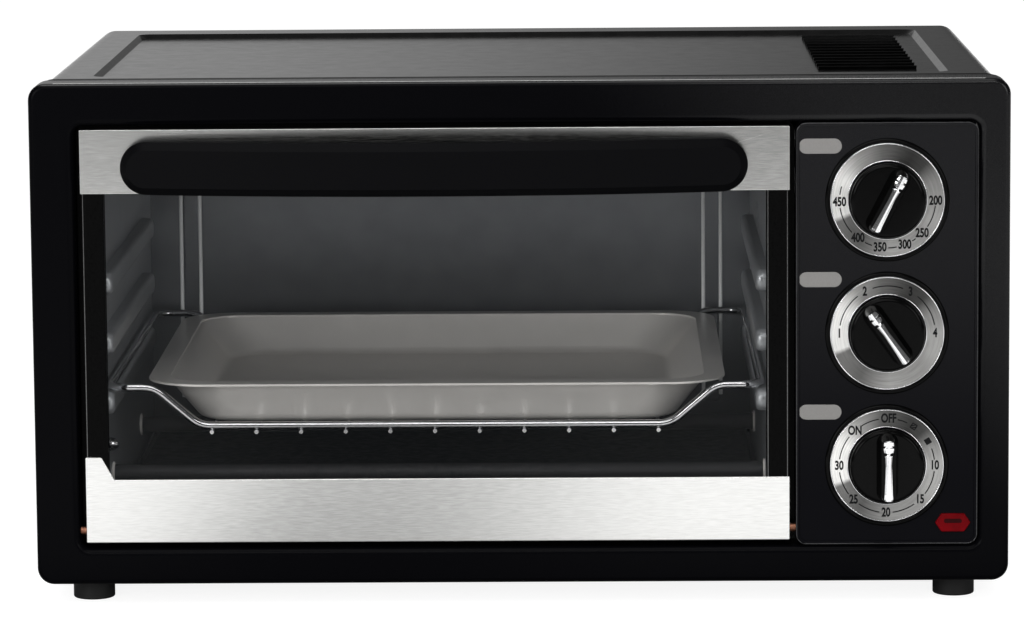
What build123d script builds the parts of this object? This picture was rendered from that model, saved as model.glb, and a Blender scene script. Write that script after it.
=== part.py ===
"""Countertop toaster oven as separate parts, in millimetres.

+Z is up and the front faces -Y. The origin is on the table, under the middle of the oven.
Depths called "d" are measured backwards from the front face of the fascia.
"""

import os

from build123d import *

os.makedirs("parts", exist_ok=True)

# Overall size
FASCIA_WIDTH = 463.0
FASCIA_HEIGHT = 240.0
BODY_DEPTH = 330.0
FOOT_HEIGHT = 11.5
HANDLE_REACH = 28.0
GLAND_REACH = 9.0

# Fits and sheet gauges
SHEET = 0.8
SLIDE_GAP = 0.3
RUNNING_FIT = 0.05
SCREW_R = 1.7
SCREW_HEAD_R = 3.4
SCREW_HEAD_T = 2.0
SCREW_CLEAR = 0.2
CUT_PAST = 1.0

# Front frame moulding
FASCIA_DEPTH = 20.0
FASCIA_WALL = 2.4
FASCIA_CORNER = 8.0
FASCIA_EDGE = 2.6
FRAME_LEFT = 21.0
FRAME_RIGHT = 14.5
FRAME_TOP = 20.2
FRAME_BOTTOM = 17.3
OPENING_CORNER = 5.0
OPENING_EDGE = 3.5

# Control panel, dial rings and knobs
PANEL_WIDTH = 86.3
PANEL_SETBACK = 2.0
PANEL_WALL = 2.2
PANEL_DEPTH = 14.2
PANEL_RIM = 1.8
PANEL_RIM_RISE = 0.8
DIAL_LIP_RISE = 0.8
DIAL_SPACING = 63.4
DIAL_RISE = 0.6
RING_OUTER_R = 27.1
RING_INNER_R = 18.4
RING_PROUD = 1.6
RING_FIT = 0.1
RING_BEVEL = 0.7
LIP_R = 28.9
KNOB_R = 17.7
KNOB_FACE = 5.5
KNOB_EDGE = 2.0
KNOB_GAP = 0.6
GRIP_WIDTH = 10.6
GRIP_REACH = 11.0
GRIP_END_GAP = 1.0
GRIP_ROOT = 1.0
GRIP_TAPER = 9.0
POINTER_WAIST = 3.0
POINTER_TAIL = 4.8
POINTER_HEAD = 6.0
POINTER_SUNK = 1.0
POINTER_PROUD = 0.6
POINTER_INSET = 3.4
SHAFT_R = 3.0
SHAFT_GRIP = 4.0
SHAFT_TAIL = 12.0
SHAFT_CLEAR = 1.0
LAMP_WIDTH = 17.0
LAMP_HEIGHT = 8.8
LAMP_SIDE_GAP = 3.2
LAMP_BOTTOM_GAP = 6.0
LENS_PROUD = 1.2
LENS_FLANGE = 1.2
LENS_LIP = 0.8
LENS_EDGE = 0.6
NEON_R = 3.0
NEON_TAIL = 8.0
NEON_COLLAR = 1.5
BRACKET_SHEET = 1.2
BRACKET_INSET = 0.5

# Pointer directions at rest, in degrees clockwise from straight up
TEMPERATURE_REST = 27.5
FUNCTION_REST = -35.6
TIMER_REST = 0.0

# Door
DOOR_SIDE_GAP = 2.9
DOOR_BOTTOM_GAP = 2.7
DOOR_TOP_GAP = 1.8
DOOR_SETBACK = 1.2
GLASS = 4.0
PAD = 1.0
TRIM_HEIGHT = 30.5
TRIM_BACK_HEIGHT = 20.0
TRIM_BACK_LAP = 6.0
TAB_RISE = 10.8
TAB_WIDTH = 7.7
TAB_SLOPE = 6.0
PAD_INSET = 1.0
STRIP_WIDTH = 10.2
HINGE_BLOCK = 15.0
HINGE_RISE = 5.5
BLOCK_COVER = 2.5
PIN_R = 2.0
PIN_GRIP = 1.5
SPIGOT_R = 1.2
SPIGOT_PROUD = 0.5
LEVER_GAP = 4.0
LEVER_THICK = 2.0
LEVER_LENGTH = 17.0
SPRING_R = 3.0
SPRING_WIRE_R = 0.5
SPRING_LEAD = 2.6
ANCHOR_RUN = 62.0
ANCHOR_RISE = 10.0
LUG_SIDE = 4.0
LUG_THICK = 1.5
LUG_TOP = 5.0
HANDLE_LENGTH = 295.2
HANDLE_HEIGHT = 25.0
HANDLE_BAR = 12.0
HANDLE_FOOT = 24.0
HANDLE_BEVEL = 3.6
HANDLE_DROP = 1.9
HANDLE_END_REACH = 11.76
HANDLE_SCREW_INSET = 2.0
HANDLE_SCREW_RISE = 4.0
HANDLE_SCREW_SHANK = 10.0
HANDLE_SCREW_BORE = 9.0

# Cavity
CAVITY_LEFT_MARGIN = 8.9
CAVITY_RIGHT_MARGIN = 12.1
CAVITY_FLOOR_RISE = 6.0
CAVITY_CEILING_DROP = 9.3
MOUTH_D = 12.6
REAR_SPACE = 30.0
LEDGE_HEIGHT = 11.0
LEDGE_REACH = 6.0
LEDGE_WALL = 1.6
LEDGE_ROUND = 2.6
LEDGE_SPACING = 28.9
LEDGE_FRONT_GAP = 12.0
LEDGE_BACK_GAP = 45.0
LEDGE_END_R = 4.95
RIB_WIDTH = 9.6
RIB_LEFT_GAP = 22.0
RIB_RIGHT_GAP = 20.1
RIB_END_GAP = 8.0
RIB_END_R = 3.0
RIB_REACH = 2.6
RIB_WALL = 1.2
RIB_ROUND = 1.6
POST_R = 5.0
POST_INSET = 40.0
POST_DROP = 20.0

# Heating elements
ELEMENT_R = 4.2
ELEMENT_FRONT_D = 75.0
ELEMENT_REAR_GAP = 75.0
ELEMENT_FLOOR_GAP = 18.0
ELEMENT_CEILING_GAP = 16.0
ELEMENT_END = 4.0
BUSH_R = 7.0
BUSH_HALF = 5.0
BUSH_SHOULDER = 1.5
BUSH_NECK = 1.0
PRONG_R = 1.5
PRONG_LENGTH = 9.0

# Wire rack, pan and crumb tray
RACK_SEAT_RISE = 65.5
RACK_SIDE_GAP = 3.5
RACK_FRONT_GAP = 13.5
RACK_BACK_GAP = 12.5
FRAME_WIRE_R = 2.0
ROD_R = 1.0
ROD_BITE = 0.3
ROD_PROUD = 0.5
ROD_COUNT = 11
RACK_DROP = 18.8
RACK_SHOULDER = 21.5
RACK_SLOPE_RUN = 22.0
RACK_BEND_R = 14.0
RACK_CORNER_R = 9.0
ROD_END_GAP = 5.7
PAN_RIM_SIDE_GAP = 16.5
PAN_BASE_OVERHANG = 3.0
PAN_SHEET = 1.0
PAN_FLANGE = 9.0
PAN_CORNER = 24.0
PAN_FOOT_R = 6.0
PAN_RIM_DROP = 0.4
PAN_WIRE_GAP = 2.0
PAN_FLARE = 14.0
TRAY_SIDE_GAP = 2.5
TRAY_FRONT_GAP = 2.0
TRAY_WALL_HEIGHT = 6.0
TRAY_SLOT_ABOVE = 3.0
TRAY_SLOT_BELOW = 1.0
TRAY_SLOT_SIDE = 1.5
TRAY_LIP_HEIGHT = 15.0
TRAY_LIP_DROP = 4.0
TRAY_LIP_THICK = 1.5
TRAY_PULL_WIDTH = 80.0
TRAY_PULL_REACH = 6.0
TRAY_PULL_RISE = 5.0

# Casing
WRAP_INSET = 1.5
WRAP_CORNER = 9.0
RECESS = 2.0
RECESS_MARGIN = 24.0
RECESS_FRONT_MARGIN = 33.0
RECESS_CORNER = 7.0
RECESS_SLOPE = 55.0
LOUVRE_COUNT = 12
LOUVRE_LENGTH = 48.0
LOUVRE_SLOT = 3.0
LOUVRE_RISE = 1.8
LOUVRE_SHIFT = 5.15
LOUVRE_FRONT_GAP = 40.0
LOUVRE_BACK_GAP = 30.0
VENT_SLOT = 3.4
SIDE_VENT_LENGTH = 40.0
SIDE_VENT_SPACING = 14.0
SIDE_VENT_ROW_SPACING = 60.0
BASE_VENT_LENGTH = 50.0
BASE_VENT_SPACING = 12.0
REAR_VENT_LENGTH = 52.0
REAR_VENT_SIDE_SPACING = 64.0
REAR_VENT_SPACING = 9.0
REAR_VENT_RISE = 40.0
CONTROL_VENT_LENGTH = 56.0
CONTROL_VENT_RISE = 20.0
REAR_SCREW_INSET = 12.0
REAR_SCREW_RISE = 14.0
REAR_SCREW_DROP = 16.0
REAR_SCREW_SHANK = 8.0
FOOT_R = 10.0
FOOT_INSET = 24.0
FOOT_FRONT_GAP = 1.0
FOOT_EDGE = 1.0
FOOT_BORE = 4.0
FOOT_BORE_CLEAR = 0.6
FOOT_SCREW_GRIP = 7.0
GLAND_R = 7.0
GLAND_RISE = 26.0
GLAND_INSIDE = 14.0
GLAND_COLLAR = 3.0
GLAND_COLLAR_THICK = 2.5
GLAND_LIP = 1.6
GLAND_WALL = 3.2

# Fan
FAN_HOUSING_R = 37.0
FAN_HOUSING_DEPTH = 17.0
IMPELLER_R = 29.0
BLADE_COUNT = 8
BLADE_LENGTH = 15.0
BLADE_WIDTH = 7.5
BLADE_THICK = 1.0
BLADE_TIP_GAP = 0.5
HUB_R = 5.0
IMPELLER_GAP = 4.0
IMPELLER_DEPTH = 8.0
IMPELLER_DISC = 1.0
FAN_SHAFT_R = 2.0
FAN_SHAFT_CLEAR = 2.0
FAN_SHAFT_START = 3.0
FAN_BACK_SHIFT = 25.0
FAN_RISE = 15.0
FAN_HOLE_R = 2.0
FAN_HOLE_SPACING = 7.0
FAN_HOLE_RINGS = 4
MOTOR_LENGTH = 34.0
MOTOR_HALF = 24.0
MOTOR_RISE = 4.0
MOTOR_CORNER = 4.0
MOTOR_BORE_END = 8.0
MOTOR_SHAFT_END = 10.0

# Levels and edges that follow from the sizes above
FRONT_Y = HANDLE_REACH - (HANDLE_REACH + BODY_DEPTH + GLAND_REACH) / 2
BASE_Z = FOOT_HEIGHT
TOP_Z = BASE_Z + FASCIA_HEIGHT
HALF_W = FASCIA_WIDTH / 2
OPEN_X0 = -HALF_W + FRAME_LEFT
OPEN_X1 = HALF_W - FRAME_RIGHT
OPEN_Z0 = BASE_Z + FRAME_BOTTOM
OPEN_Z1 = TOP_Z - FRAME_TOP
PANEL_X1 = OPEN_X1 - SLIDE_GAP
PANEL_X0 = PANEL_X1 - PANEL_WIDTH
PANEL_Z0 = OPEN_Z0 + SLIDE_GAP
PANEL_Z1 = OPEN_Z1 - SLIDE_GAP
PANEL_BACK = PANEL_SETBACK + PANEL_DEPTH
PANEL_CORNER = OPENING_CORNER
DIAL_X = (PANEL_X0 + PANEL_X1) / 2
DIAL_Z = (PANEL_Z0 + PANEL_Z1) / 2 + DIAL_RISE
LAMP_X = PANEL_X1 - LAMP_WIDTH / 2 - LAMP_SIDE_GAP
LAMP_Z = PANEL_Z0 + LAMP_HEIGHT / 2 + LAMP_BOTTOM_GAP
DOOR_X0 = OPEN_X0 + DOOR_SIDE_GAP
DOOR_X1 = PANEL_X0 - DOOR_SIDE_GAP
DOOR_Z0 = OPEN_Z0 + DOOR_BOTTOM_GAP
DOOR_Z1 = OPEN_Z1 - DOOR_TOP_GAP
DOOR_THICK = GLASS + 2 * PAD + 2 * SHEET
DOOR_BACK = DOOR_SETBACK + DOOR_THICK
CHANNEL_D0 = DOOR_SETBACK + SHEET
CHANNEL_D1 = DOOR_BACK - SHEET
GLASS_D0 = CHANNEL_D0 + PAD
GLASS_D1 = CHANNEL_D1 - PAD
HINGE_D = DOOR_SETBACK + DOOR_THICK / 2
HINGE_Z = DOOR_Z0 + HINGE_RISE
BLOCK_TOP = HINGE_Z + PIN_R + BLOCK_COVER
GLASS_TOP = DOOR_Z1 - TRIM_BACK_HEIGHT
HANDLE_X = (DOOR_X0 + DOOR_X1) / 2
HANDLE_Z = DOOR_Z1 - TRIM_HEIGHT / 2 - HANDLE_DROP
CAVITY_X0 = OPEN_X0 + CAVITY_LEFT_MARGIN
CAVITY_X1 = PANEL_X0 - CAVITY_RIGHT_MARGIN
CAVITY_Z0 = OPEN_Z0 + CAVITY_FLOOR_RISE
CAVITY_Z1 = OPEN_Z1 - CAVITY_CEILING_DROP
CAVITY_FRONT = MOUTH_D + SHEET
CAVITY_BACK = BODY_DEPTH - REAR_SPACE
CAVITY_MID_X = (CAVITY_X0 + CAVITY_X1) / 2
RACK_SEAT_Z = CAVITY_Z0 + RACK_SEAT_RISE
LEDGE_D0 = CAVITY_FRONT + LEDGE_FRONT_GAP
LEDGE_D1 = CAVITY_BACK - LEDGE_BACK_GAP
ELEMENT_DEPTHS = (ELEMENT_FRONT_D, CAVITY_BACK - ELEMENT_REAR_GAP)
ELEMENT_LEVELS = {"lower": CAVITY_Z0 + ELEMENT_FLOOR_GAP, "upper": CAVITY_Z1 - ELEMENT_CEILING_GAP}
WRAP_X = HALF_W - WRAP_INSET
WRAP_TOP = TOP_Z - WRAP_INSET
FAN_D = (CAVITY_FRONT + CAVITY_BACK) / 2 + FAN_BACK_SHIFT
FAN_Z = (CAVITY_Z0 + CAVITY_Z1) / 2 + FAN_RISE
SCREW_HOLE_R = SCREW_R + SCREW_CLEAR
BUSH_NECK_R = BUSH_R - BUSH_SHOULDER
PIN_BORE_R = PIN_R + RUNNING_FIT


def front_plane(d):
    """Upright plane facing forward, d behind the fascia's face. Its x is X and its y is Z."""
    return Plane.XZ.offset(-(FRONT_Y + d))


def side_plane(x):
    """Upright plane facing +X. Its x is Y and its y is Z."""
    return Plane.YZ.offset(x)


def level(z):
    """Horizontal plane facing up."""
    return Plane.XY.offset(z)


def outline(x0, x1, y0, y1, corner=0.0, mode=Mode.ADD):
    """Rectangle given by its edges, with rounded corners if a radius is given."""
    with Locations(((x0 + x1) / 2, (y0 + y1) / 2)):
        if corner > 0:
            RectangleRounded(x1 - x0, y1 - y0, corner, mode=mode)
        else:
            Rectangle(x1 - x0, y1 - y0, mode=mode)


def block(x0, x1, d0, d1, z0, z1, mode=Mode.ADD):
    """Box given by its faces, with depths measured from the fascia's face."""
    with Locations(((x0 + x1) / 2, FRONT_Y + (d0 + d1) / 2, (z0 + z1) / 2)):
        Box(x1 - x0, d1 - d0, z1 - z0, mode=mode)


def rod_x(x0, x1, d, z, radius, mode=Mode.ADD):
    """Round bar running across the oven."""
    with Locations(Location(((x0 + x1) / 2, FRONT_Y + d, z), (0, 90, 0))):
        Cylinder(radius, x1 - x0, mode=mode)


def rod_y(x, d0, d1, z, radius, mode=Mode.ADD):
    """Round bar running from front to back."""
    with Locations(Location((x, FRONT_Y + (d0 + d1) / 2, z), (90, 0, 0))):
        Cylinder(radius, d1 - d0, mode=mode)


def rod_z(x, d, z0, z1, radius, mode=Mode.ADD):
    """Upright round bar."""
    with Locations((x, FRONT_Y + d, (z0 + z1) / 2)):
        Cylinder(radius, z1 - z0, mode=mode)


def save(builder, name):
    """Label the part with its node name and write its file."""
    builder.part.label = name
    export_step(builder.part, f"parts/{name}.step")


def edges_at_depth(builder, d):
    """Edges lying wholly in the plane d behind the fascia's face."""
    y = FRONT_Y + d
    return builder.edges().filter_by_position(Axis.Y, y - 0.01, y + 0.01)


def lamp_outline(grow):
    """Long hexagon of the power lamp, grown outwards by the given amount."""
    half_w = LAMP_WIDTH / 2 + grow
    half_h = LAMP_HEIGHT / 2 + grow
    flat = half_w - half_h * 0.7
    upper = [(-half_w, 0), (-flat, half_h), (flat, half_h), (half_w, 0)]
    lower = [(flat, -half_h), (-flat, -half_h)]
    with Locations((LAMP_X, LAMP_Z)):
        Polygon(*upper, *lower, align=None)


# Front frame, one moulding around the door and the control panel
with BuildPart() as front_fascia:
    with BuildSketch(front_plane(FASCIA_DEPTH)):
        outline(-HALF_W, HALF_W, BASE_Z, TOP_Z, FASCIA_CORNER)
        outline(OPEN_X0, OPEN_X1, OPEN_Z0, OPEN_Z1, OPENING_CORNER, mode=Mode.SUBTRACT)
    extrude(amount=FASCIA_DEPTH)
    front_edges = edges_at_depth(front_fascia, 0)
    outer_edges = front_edges.filter_by(
        lambda e: abs(e.center().X) > HALF_W - FASCIA_CORNER
        or e.center().Z > TOP_Z - FASCIA_CORNER
        or e.center().Z < BASE_Z + FASCIA_CORNER
    )
    inner_edges = [edge for edge in front_edges if edge not in outer_edges]
    fillet(outer_edges, FASCIA_EDGE)
    fillet(inner_edges, OPENING_EDGE)
    with BuildSketch(front_plane(FASCIA_DEPTH)):
        outline(
            -HALF_W + FASCIA_WALL,
            HALF_W - FASCIA_WALL,
            BASE_Z + FASCIA_WALL,
            TOP_Z - FASCIA_WALL,
            FASCIA_CORNER - FASCIA_WALL,
        )
        outline(
            OPEN_X0 - FASCIA_WALL,
            OPEN_X1 + FASCIA_WALL,
            OPEN_Z0 - FASCIA_WALL,
            OPEN_Z1 + FASCIA_WALL,
            OPENING_CORNER + FASCIA_WALL,
            mode=Mode.SUBTRACT,
        )
    extrude(amount=FASCIA_DEPTH - FASCIA_WALL, mode=Mode.SUBTRACT)
    rod_x(OPEN_X0 - 2 * FASCIA_WALL, OPEN_X0 + CUT_PAST, HINGE_D, HINGE_Z, PIN_BORE_R, mode=Mode.SUBTRACT)
save(front_fascia, "front_fascia")

# Control panel, a shallow tray with a raised lip round each dial
with BuildPart() as control_panel:
    with BuildSketch(front_plane(PANEL_BACK)):
        outline(PANEL_X0, PANEL_X1, PANEL_Z0, PANEL_Z1, PANEL_CORNER)
    extrude(amount=PANEL_DEPTH)
    with BuildSketch(front_plane(PANEL_SETBACK)):
        outline(PANEL_X0, PANEL_X1, PANEL_Z0, PANEL_Z1, PANEL_CORNER)
        outline(
            PANEL_X0 + PANEL_RIM,
            PANEL_X1 - PANEL_RIM,
            PANEL_Z0 + PANEL_RIM,
            PANEL_Z1 - PANEL_RIM,
            PANEL_CORNER - PANEL_RIM,
            Mode.SUBTRACT,
        )
    extrude(amount=PANEL_RIM_RISE)
    fillet(edges_at_depth(control_panel, PANEL_SETBACK - PANEL_RIM_RISE), PANEL_RIM_RISE / 2)
    with BuildSketch(front_plane(PANEL_BACK)):
        outline(
            PANEL_X0 + PANEL_WALL,
            PANEL_X1 - PANEL_WALL,
            PANEL_Z0 + PANEL_WALL,
            PANEL_Z1 - PANEL_WALL,
            PANEL_CORNER / 2,
        )
    extrude(amount=PANEL_DEPTH - PANEL_WALL, mode=Mode.SUBTRACT)
    with BuildSketch(front_plane(PANEL_SETBACK)):
        with Locations((DIAL_X, DIAL_Z)):
            with GridLocations(1, DIAL_SPACING, 1, 3):
                Circle(LIP_R)
                Circle(RING_OUTER_R, mode=Mode.SUBTRACT)
    extrude(amount=DIAL_LIP_RISE)
    with BuildSketch(front_plane(PANEL_SETBACK + PANEL_WALL)):
        with Locations((DIAL_X, DIAL_Z)):
            with GridLocations(1, DIAL_SPACING, 1, 3):
                Circle(SHAFT_R + SHAFT_CLEAR)
        lamp_outline(0.0)
    extrude(amount=PANEL_WALL, mode=Mode.SUBTRACT)
    bore_end = PANEL_X0 + PANEL_WALL + 2 * PIN_GRIP
    rod_x(PANEL_X0 - CUT_PAST, bore_end, HINGE_D, HINGE_Z, PIN_BORE_R, mode=Mode.SUBTRACT)
save(control_panel, "control_panel")

# Steel plate behind the control panel that carries the three controls
BRACKET_D0 = PANEL_BACK
BRACKET_D1 = PANEL_BACK + BRACKET_SHEET
with BuildPart() as control_bracket:
    with BuildSketch(front_plane(BRACKET_D1)):
        outline(
            PANEL_X0 + BRACKET_INSET,
            PANEL_X1 - BRACKET_INSET,
            PANEL_Z0 + BRACKET_INSET,
            PANEL_Z1 - BRACKET_INSET,
            PANEL_CORNER,
        )
        with Locations((DIAL_X, DIAL_Z)):
            with GridLocations(1, DIAL_SPACING, 1, 3):
                Circle(SHAFT_R + 2 * SHAFT_CLEAR, mode=Mode.SUBTRACT)
        with Locations((LAMP_X, LAMP_Z)):
            Circle(LAMP_HEIGHT / 2, mode=Mode.SUBTRACT)
    extrude(amount=BRACKET_D1 - BRACKET_D0)
save(control_bracket, "control_bracket")

# Sheet frame that closes the space between the oven's mouth and the front moulding
with BuildPart() as mouth_frame:
    with BuildSketch(front_plane(CAVITY_FRONT)):
        outline(
            OPEN_X0 + SLIDE_GAP,
            PANEL_X0 - SLIDE_GAP,
            OPEN_Z0 + SLIDE_GAP,
            OPEN_Z1 - SLIDE_GAP,
            OPENING_CORNER,
        )
        outline(CAVITY_X0, CAVITY_X1, CAVITY_Z0, CAVITY_Z1, mode=Mode.SUBTRACT)
    extrude(amount=SHEET)
save(mouth_frame, "mouth_frame")


def make_side_wall(name, inner_x, inward, fan_holes):
    """Cavity side wall with three hollow rack ledges. inward is +1 or -1 along X."""
    outer_x = inner_x - inward * SHEET
    with BuildPart() as wall:
        with BuildSketch(side_plane(outer_x)):
            outline(
                FRONT_Y + CAVITY_FRONT,
                FRONT_Y + CAVITY_BACK + SHEET,
                CAVITY_Z0 - SHEET,
                CAVITY_Z1 + SHEET,
            )
        extrude(amount=inward * SHEET)
        for ledge_plane, inset, reach, mode in (
            (inner_x, 0.0, LEDGE_REACH, Mode.ADD),
            (outer_x, LEDGE_WALL, LEDGE_REACH + SHEET - LEDGE_WALL, Mode.SUBTRACT),
        ):
            with BuildSketch(side_plane(ledge_plane)):
                for number in range(3):
                    top = RACK_SEAT_Z + number * LEDGE_SPACING
                    outline(
                        FRONT_Y + LEDGE_D0 + inset,
                        FRONT_Y + LEDGE_D1 - inset,
                        top - LEDGE_HEIGHT + inset,
                        top - inset,
                        LEDGE_END_R - inset,
                    )
            extrude(amount=inward * reach, mode=mode)
        crest_x = inner_x + inward * LEDGE_REACH
        crest_edges = wall.edges().filter_by_position(Axis.X, crest_x - 0.01, crest_x + 0.01)
        fillet(crest_edges, LEDGE_ROUND)
        for element_d in ELEMENT_DEPTHS:
            for element_z in ELEMENT_LEVELS.values():
                rod_x(
                    min(inner_x, outer_x) - CUT_PAST,
                    max(inner_x, outer_x) + CUT_PAST,
                    element_d,
                    element_z,
                    BUSH_NECK_R,
                    mode=Mode.SUBTRACT,
                )
        if fan_holes:
            with BuildSketch(side_plane(outer_x)):
                with Locations((FRONT_Y + FAN_D, FAN_Z)):
                    Circle(FAN_HOLE_R)
                    for ring in range(1, FAN_HOLE_RINGS + 1):
                        with PolarLocations(ring * FAN_HOLE_SPACING, 6 * ring):
                            Circle(FAN_HOLE_R)
            extrude(amount=inward * SHEET, mode=Mode.SUBTRACT)
    save(wall, name)


make_side_wall("cavity_left_wall", CAVITY_X0, 1, fan_holes=False)
make_side_wall("cavity_right_wall", CAVITY_X1, -1, fan_holes=True)

# Cavity back wall with two pressed ribs and a low slot for the crumb tray
TRAY_SLOT_TOP = CAVITY_Z0 + TRAY_WALL_HEIGHT + TRAY_SLOT_ABOVE
with BuildPart() as cavity_back_wall:
    with BuildSketch(front_plane(CAVITY_BACK + SHEET)):
        outline(CAVITY_X0, CAVITY_X1, TRAY_SLOT_TOP, CAVITY_Z1 + SHEET)
    extrude(amount=SHEET)
    for rib_d, inset, reach, mode in (
        (CAVITY_BACK, 0.0, RIB_REACH, Mode.ADD),
        (CAVITY_BACK + SHEET, RIB_WALL, RIB_REACH + SHEET - RIB_WALL, Mode.SUBTRACT),
    ):
        with BuildSketch(front_plane(rib_d)):
            for rib_x in (CAVITY_X0 + RIB_LEFT_GAP, CAVITY_X1 - RIB_RIGHT_GAP):
                outline(
                    rib_x - RIB_WIDTH / 2 + inset,
                    rib_x + RIB_WIDTH / 2 - inset,
                    TRAY_SLOT_TOP + RIB_END_GAP + inset,
                    CAVITY_Z1 - RIB_END_GAP - inset,
                    RIB_END_R - inset,
                )
        extrude(amount=reach, mode=mode)
    fillet(edges_at_depth(cavity_back_wall, CAVITY_BACK - RIB_REACH), RIB_ROUND)
save(cavity_back_wall, "cavity_back_wall")

with BuildPart() as cavity_ceiling:
    block(CAVITY_X0, CAVITY_X1, CAVITY_FRONT, CAVITY_BACK, CAVITY_Z1, CAVITY_Z1 + SHEET)
save(cavity_ceiling, "cavity_ceiling")

with BuildPart() as cavity_floor:
    block(CAVITY_X0, CAVITY_X1, CAVITY_FRONT, CAVITY_BACK + SHEET, CAVITY_Z0 - SHEET, CAVITY_Z0)
save(cavity_floor, "cavity_floor")

# Posts that tie the cavity to the rear panel and the base plate
with BuildPart() as cavity_posts:
    for post_x in (CAVITY_X0 + POST_INSET, CAVITY_X1 - POST_INSET):
        rod_y(post_x, CAVITY_BACK + SHEET, BODY_DEPTH - SHEET, CAVITY_Z1 - POST_DROP, POST_R)
        for post_d in (CAVITY_FRONT + POST_INSET, CAVITY_BACK - POST_INSET):
            rod_z(post_x, post_d, BASE_Z + SHEET, CAVITY_Z0 - SHEET, POST_R)
save(cavity_posts, "cavity_posts")


# Heating rods, an upper pair and a lower pair, with a terminal prong at each end
ROD_X0 = CAVITY_X0 - BUSH_HALF - ELEMENT_END
ROD_X1 = CAVITY_X1 + BUSH_HALF + ELEMENT_END
for level_name, element_z in ELEMENT_LEVELS.items():
    with BuildPart() as heating_rods:
        for element_d in ELEMENT_DEPTHS:
            rod_x(ROD_X0, ROD_X1, element_d, element_z, ELEMENT_R)
            rod_x(ROD_X0 - PRONG_LENGTH, ROD_X1 + PRONG_LENGTH, element_d, element_z, PRONG_R)
    save(heating_rods, f"{level_name}_heating_rods")

# Ceramic bushes that hold the element ends in the side walls
with BuildPart() as element_bushes:
    for element_d in ELEMENT_DEPTHS:
        for element_z in ELEMENT_LEVELS.values():
            for wall_x, outward in ((CAVITY_X0, -1), (CAVITY_X1, 1)):
                outer_face = wall_x + outward * SHEET
                flange_end = outer_face + outward * BUSH_HALF
                neck_end = wall_x - outward * BUSH_NECK
                for far_end, radius in ((flange_end, BUSH_R), (neck_end, BUSH_NECK_R)):
                    near_x, far_x = sorted((outer_face, far_end))
                    rod_x(near_x, far_x, element_d, element_z, radius)
                bore_x0, bore_x1 = sorted((flange_end + outward * CUT_PAST, neck_end - outward * CUT_PAST))
                rod_x(bore_x0, bore_x1, element_d, element_z, ELEMENT_R, mode=Mode.SUBTRACT)
save(element_bushes, "element_bushes")

# Casing, a folded sheet with a sunken top and a row of louvres over the controls
RECESS_D0 = FASCIA_DEPTH + RECESS_FRONT_MARGIN
RECESS_D1 = BODY_DEPTH - RECESS_MARGIN
LOUVRE_X = (CAVITY_X1 + WRAP_X) / 2 - LOUVRE_SHIFT
LOUVRE_D0 = RECESS_D0 + LOUVRE_FRONT_GAP
LOUVRE_D1 = RECESS_D1 - LOUVRE_BACK_GAP
LOUVRE_SPACING = (LOUVRE_D1 - LOUVRE_D0) / (LOUVRE_COUNT - 1)
with BuildPart() as outer_wrap:
    with BuildSketch(front_plane(BODY_DEPTH)):
        outline(-WRAP_X, WRAP_X, BASE_Z - 2 * WRAP_CORNER, WRAP_TOP, WRAP_CORNER)
        outline(
            -WRAP_X + SHEET,
            WRAP_X - SHEET,
            BASE_Z - 2 * WRAP_CORNER - SHEET,
            WRAP_TOP - SHEET,
            WRAP_CORNER - SHEET,
            mode=Mode.SUBTRACT,
        )
        outline(-HALF_W, HALF_W, BASE_Z - 4 * WRAP_CORNER, BASE_Z, mode=Mode.SUBTRACT)
    extrude(amount=BODY_DEPTH - FASCIA_DEPTH)
    with BuildSketch(level(WRAP_TOP - RECESS - SHEET)):
        outline(
            -WRAP_X + RECESS_MARGIN - SHEET,
            WRAP_X - RECESS_MARGIN + SHEET,
            FRONT_Y + RECESS_D0 - SHEET,
            FRONT_Y + RECESS_D1 + SHEET,
            RECESS_CORNER + SHEET,
        )
    extrude(amount=RECESS + SHEET / 2)
    with BuildSketch(level(WRAP_TOP)):
        outline(
            -WRAP_X + RECESS_MARGIN,
            WRAP_X - RECESS_MARGIN,
            FRONT_Y + RECESS_D0,
            FRONT_Y + RECESS_D1,
            RECESS_CORNER,
        )
    extrude(amount=-RECESS, taper=RECESS_SLOPE, mode=Mode.SUBTRACT)
    for number in range(LOUVRE_COUNT):
        slot_d = LOUVRE_D0 + number * LOUVRE_SPACING
        floor_z = WRAP_TOP - RECESS
        block(
            LOUVRE_X - LOUVRE_LENGTH / 2,
            LOUVRE_X + LOUVRE_LENGTH / 2,
            slot_d - LOUVRE_SLOT,
            slot_d,
            floor_z - 2 * SHEET,
            floor_z + SHEET,
            mode=Mode.SUBTRACT,
        )
        with BuildSketch(side_plane(LOUVRE_X - LOUVRE_LENGTH / 2)):
            with BuildLine():
                Polyline(
                    (FRONT_Y + slot_d + SHEET, floor_z - SHEET / 2),
                    (FRONT_Y + slot_d + SHEET, floor_z),
                    (FRONT_Y + slot_d - LOUVRE_SLOT, floor_z + LOUVRE_RISE),
                    (FRONT_Y + slot_d - LOUVRE_SLOT, floor_z + LOUVRE_RISE - SHEET / 2),
                    (FRONT_Y + slot_d, floor_z - SHEET / 2),
                    close=True,
                )
            make_face()
        extrude(amount=LOUVRE_LENGTH)
    with BuildSketch(side_plane(WRAP_X - 2 * SHEET)):
        with Locations((FRONT_Y + BODY_DEPTH / 2, BASE_Z + FASCIA_HEIGHT / 2)):
            with GridLocations(SIDE_VENT_SPACING, SIDE_VENT_ROW_SPACING, 10, 2):
                SlotOverall(SIDE_VENT_LENGTH, VENT_SLOT, rotation=90)
    extrude(amount=4 * SHEET, mode=Mode.SUBTRACT)
save(outer_wrap, "outer_wrap")

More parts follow.
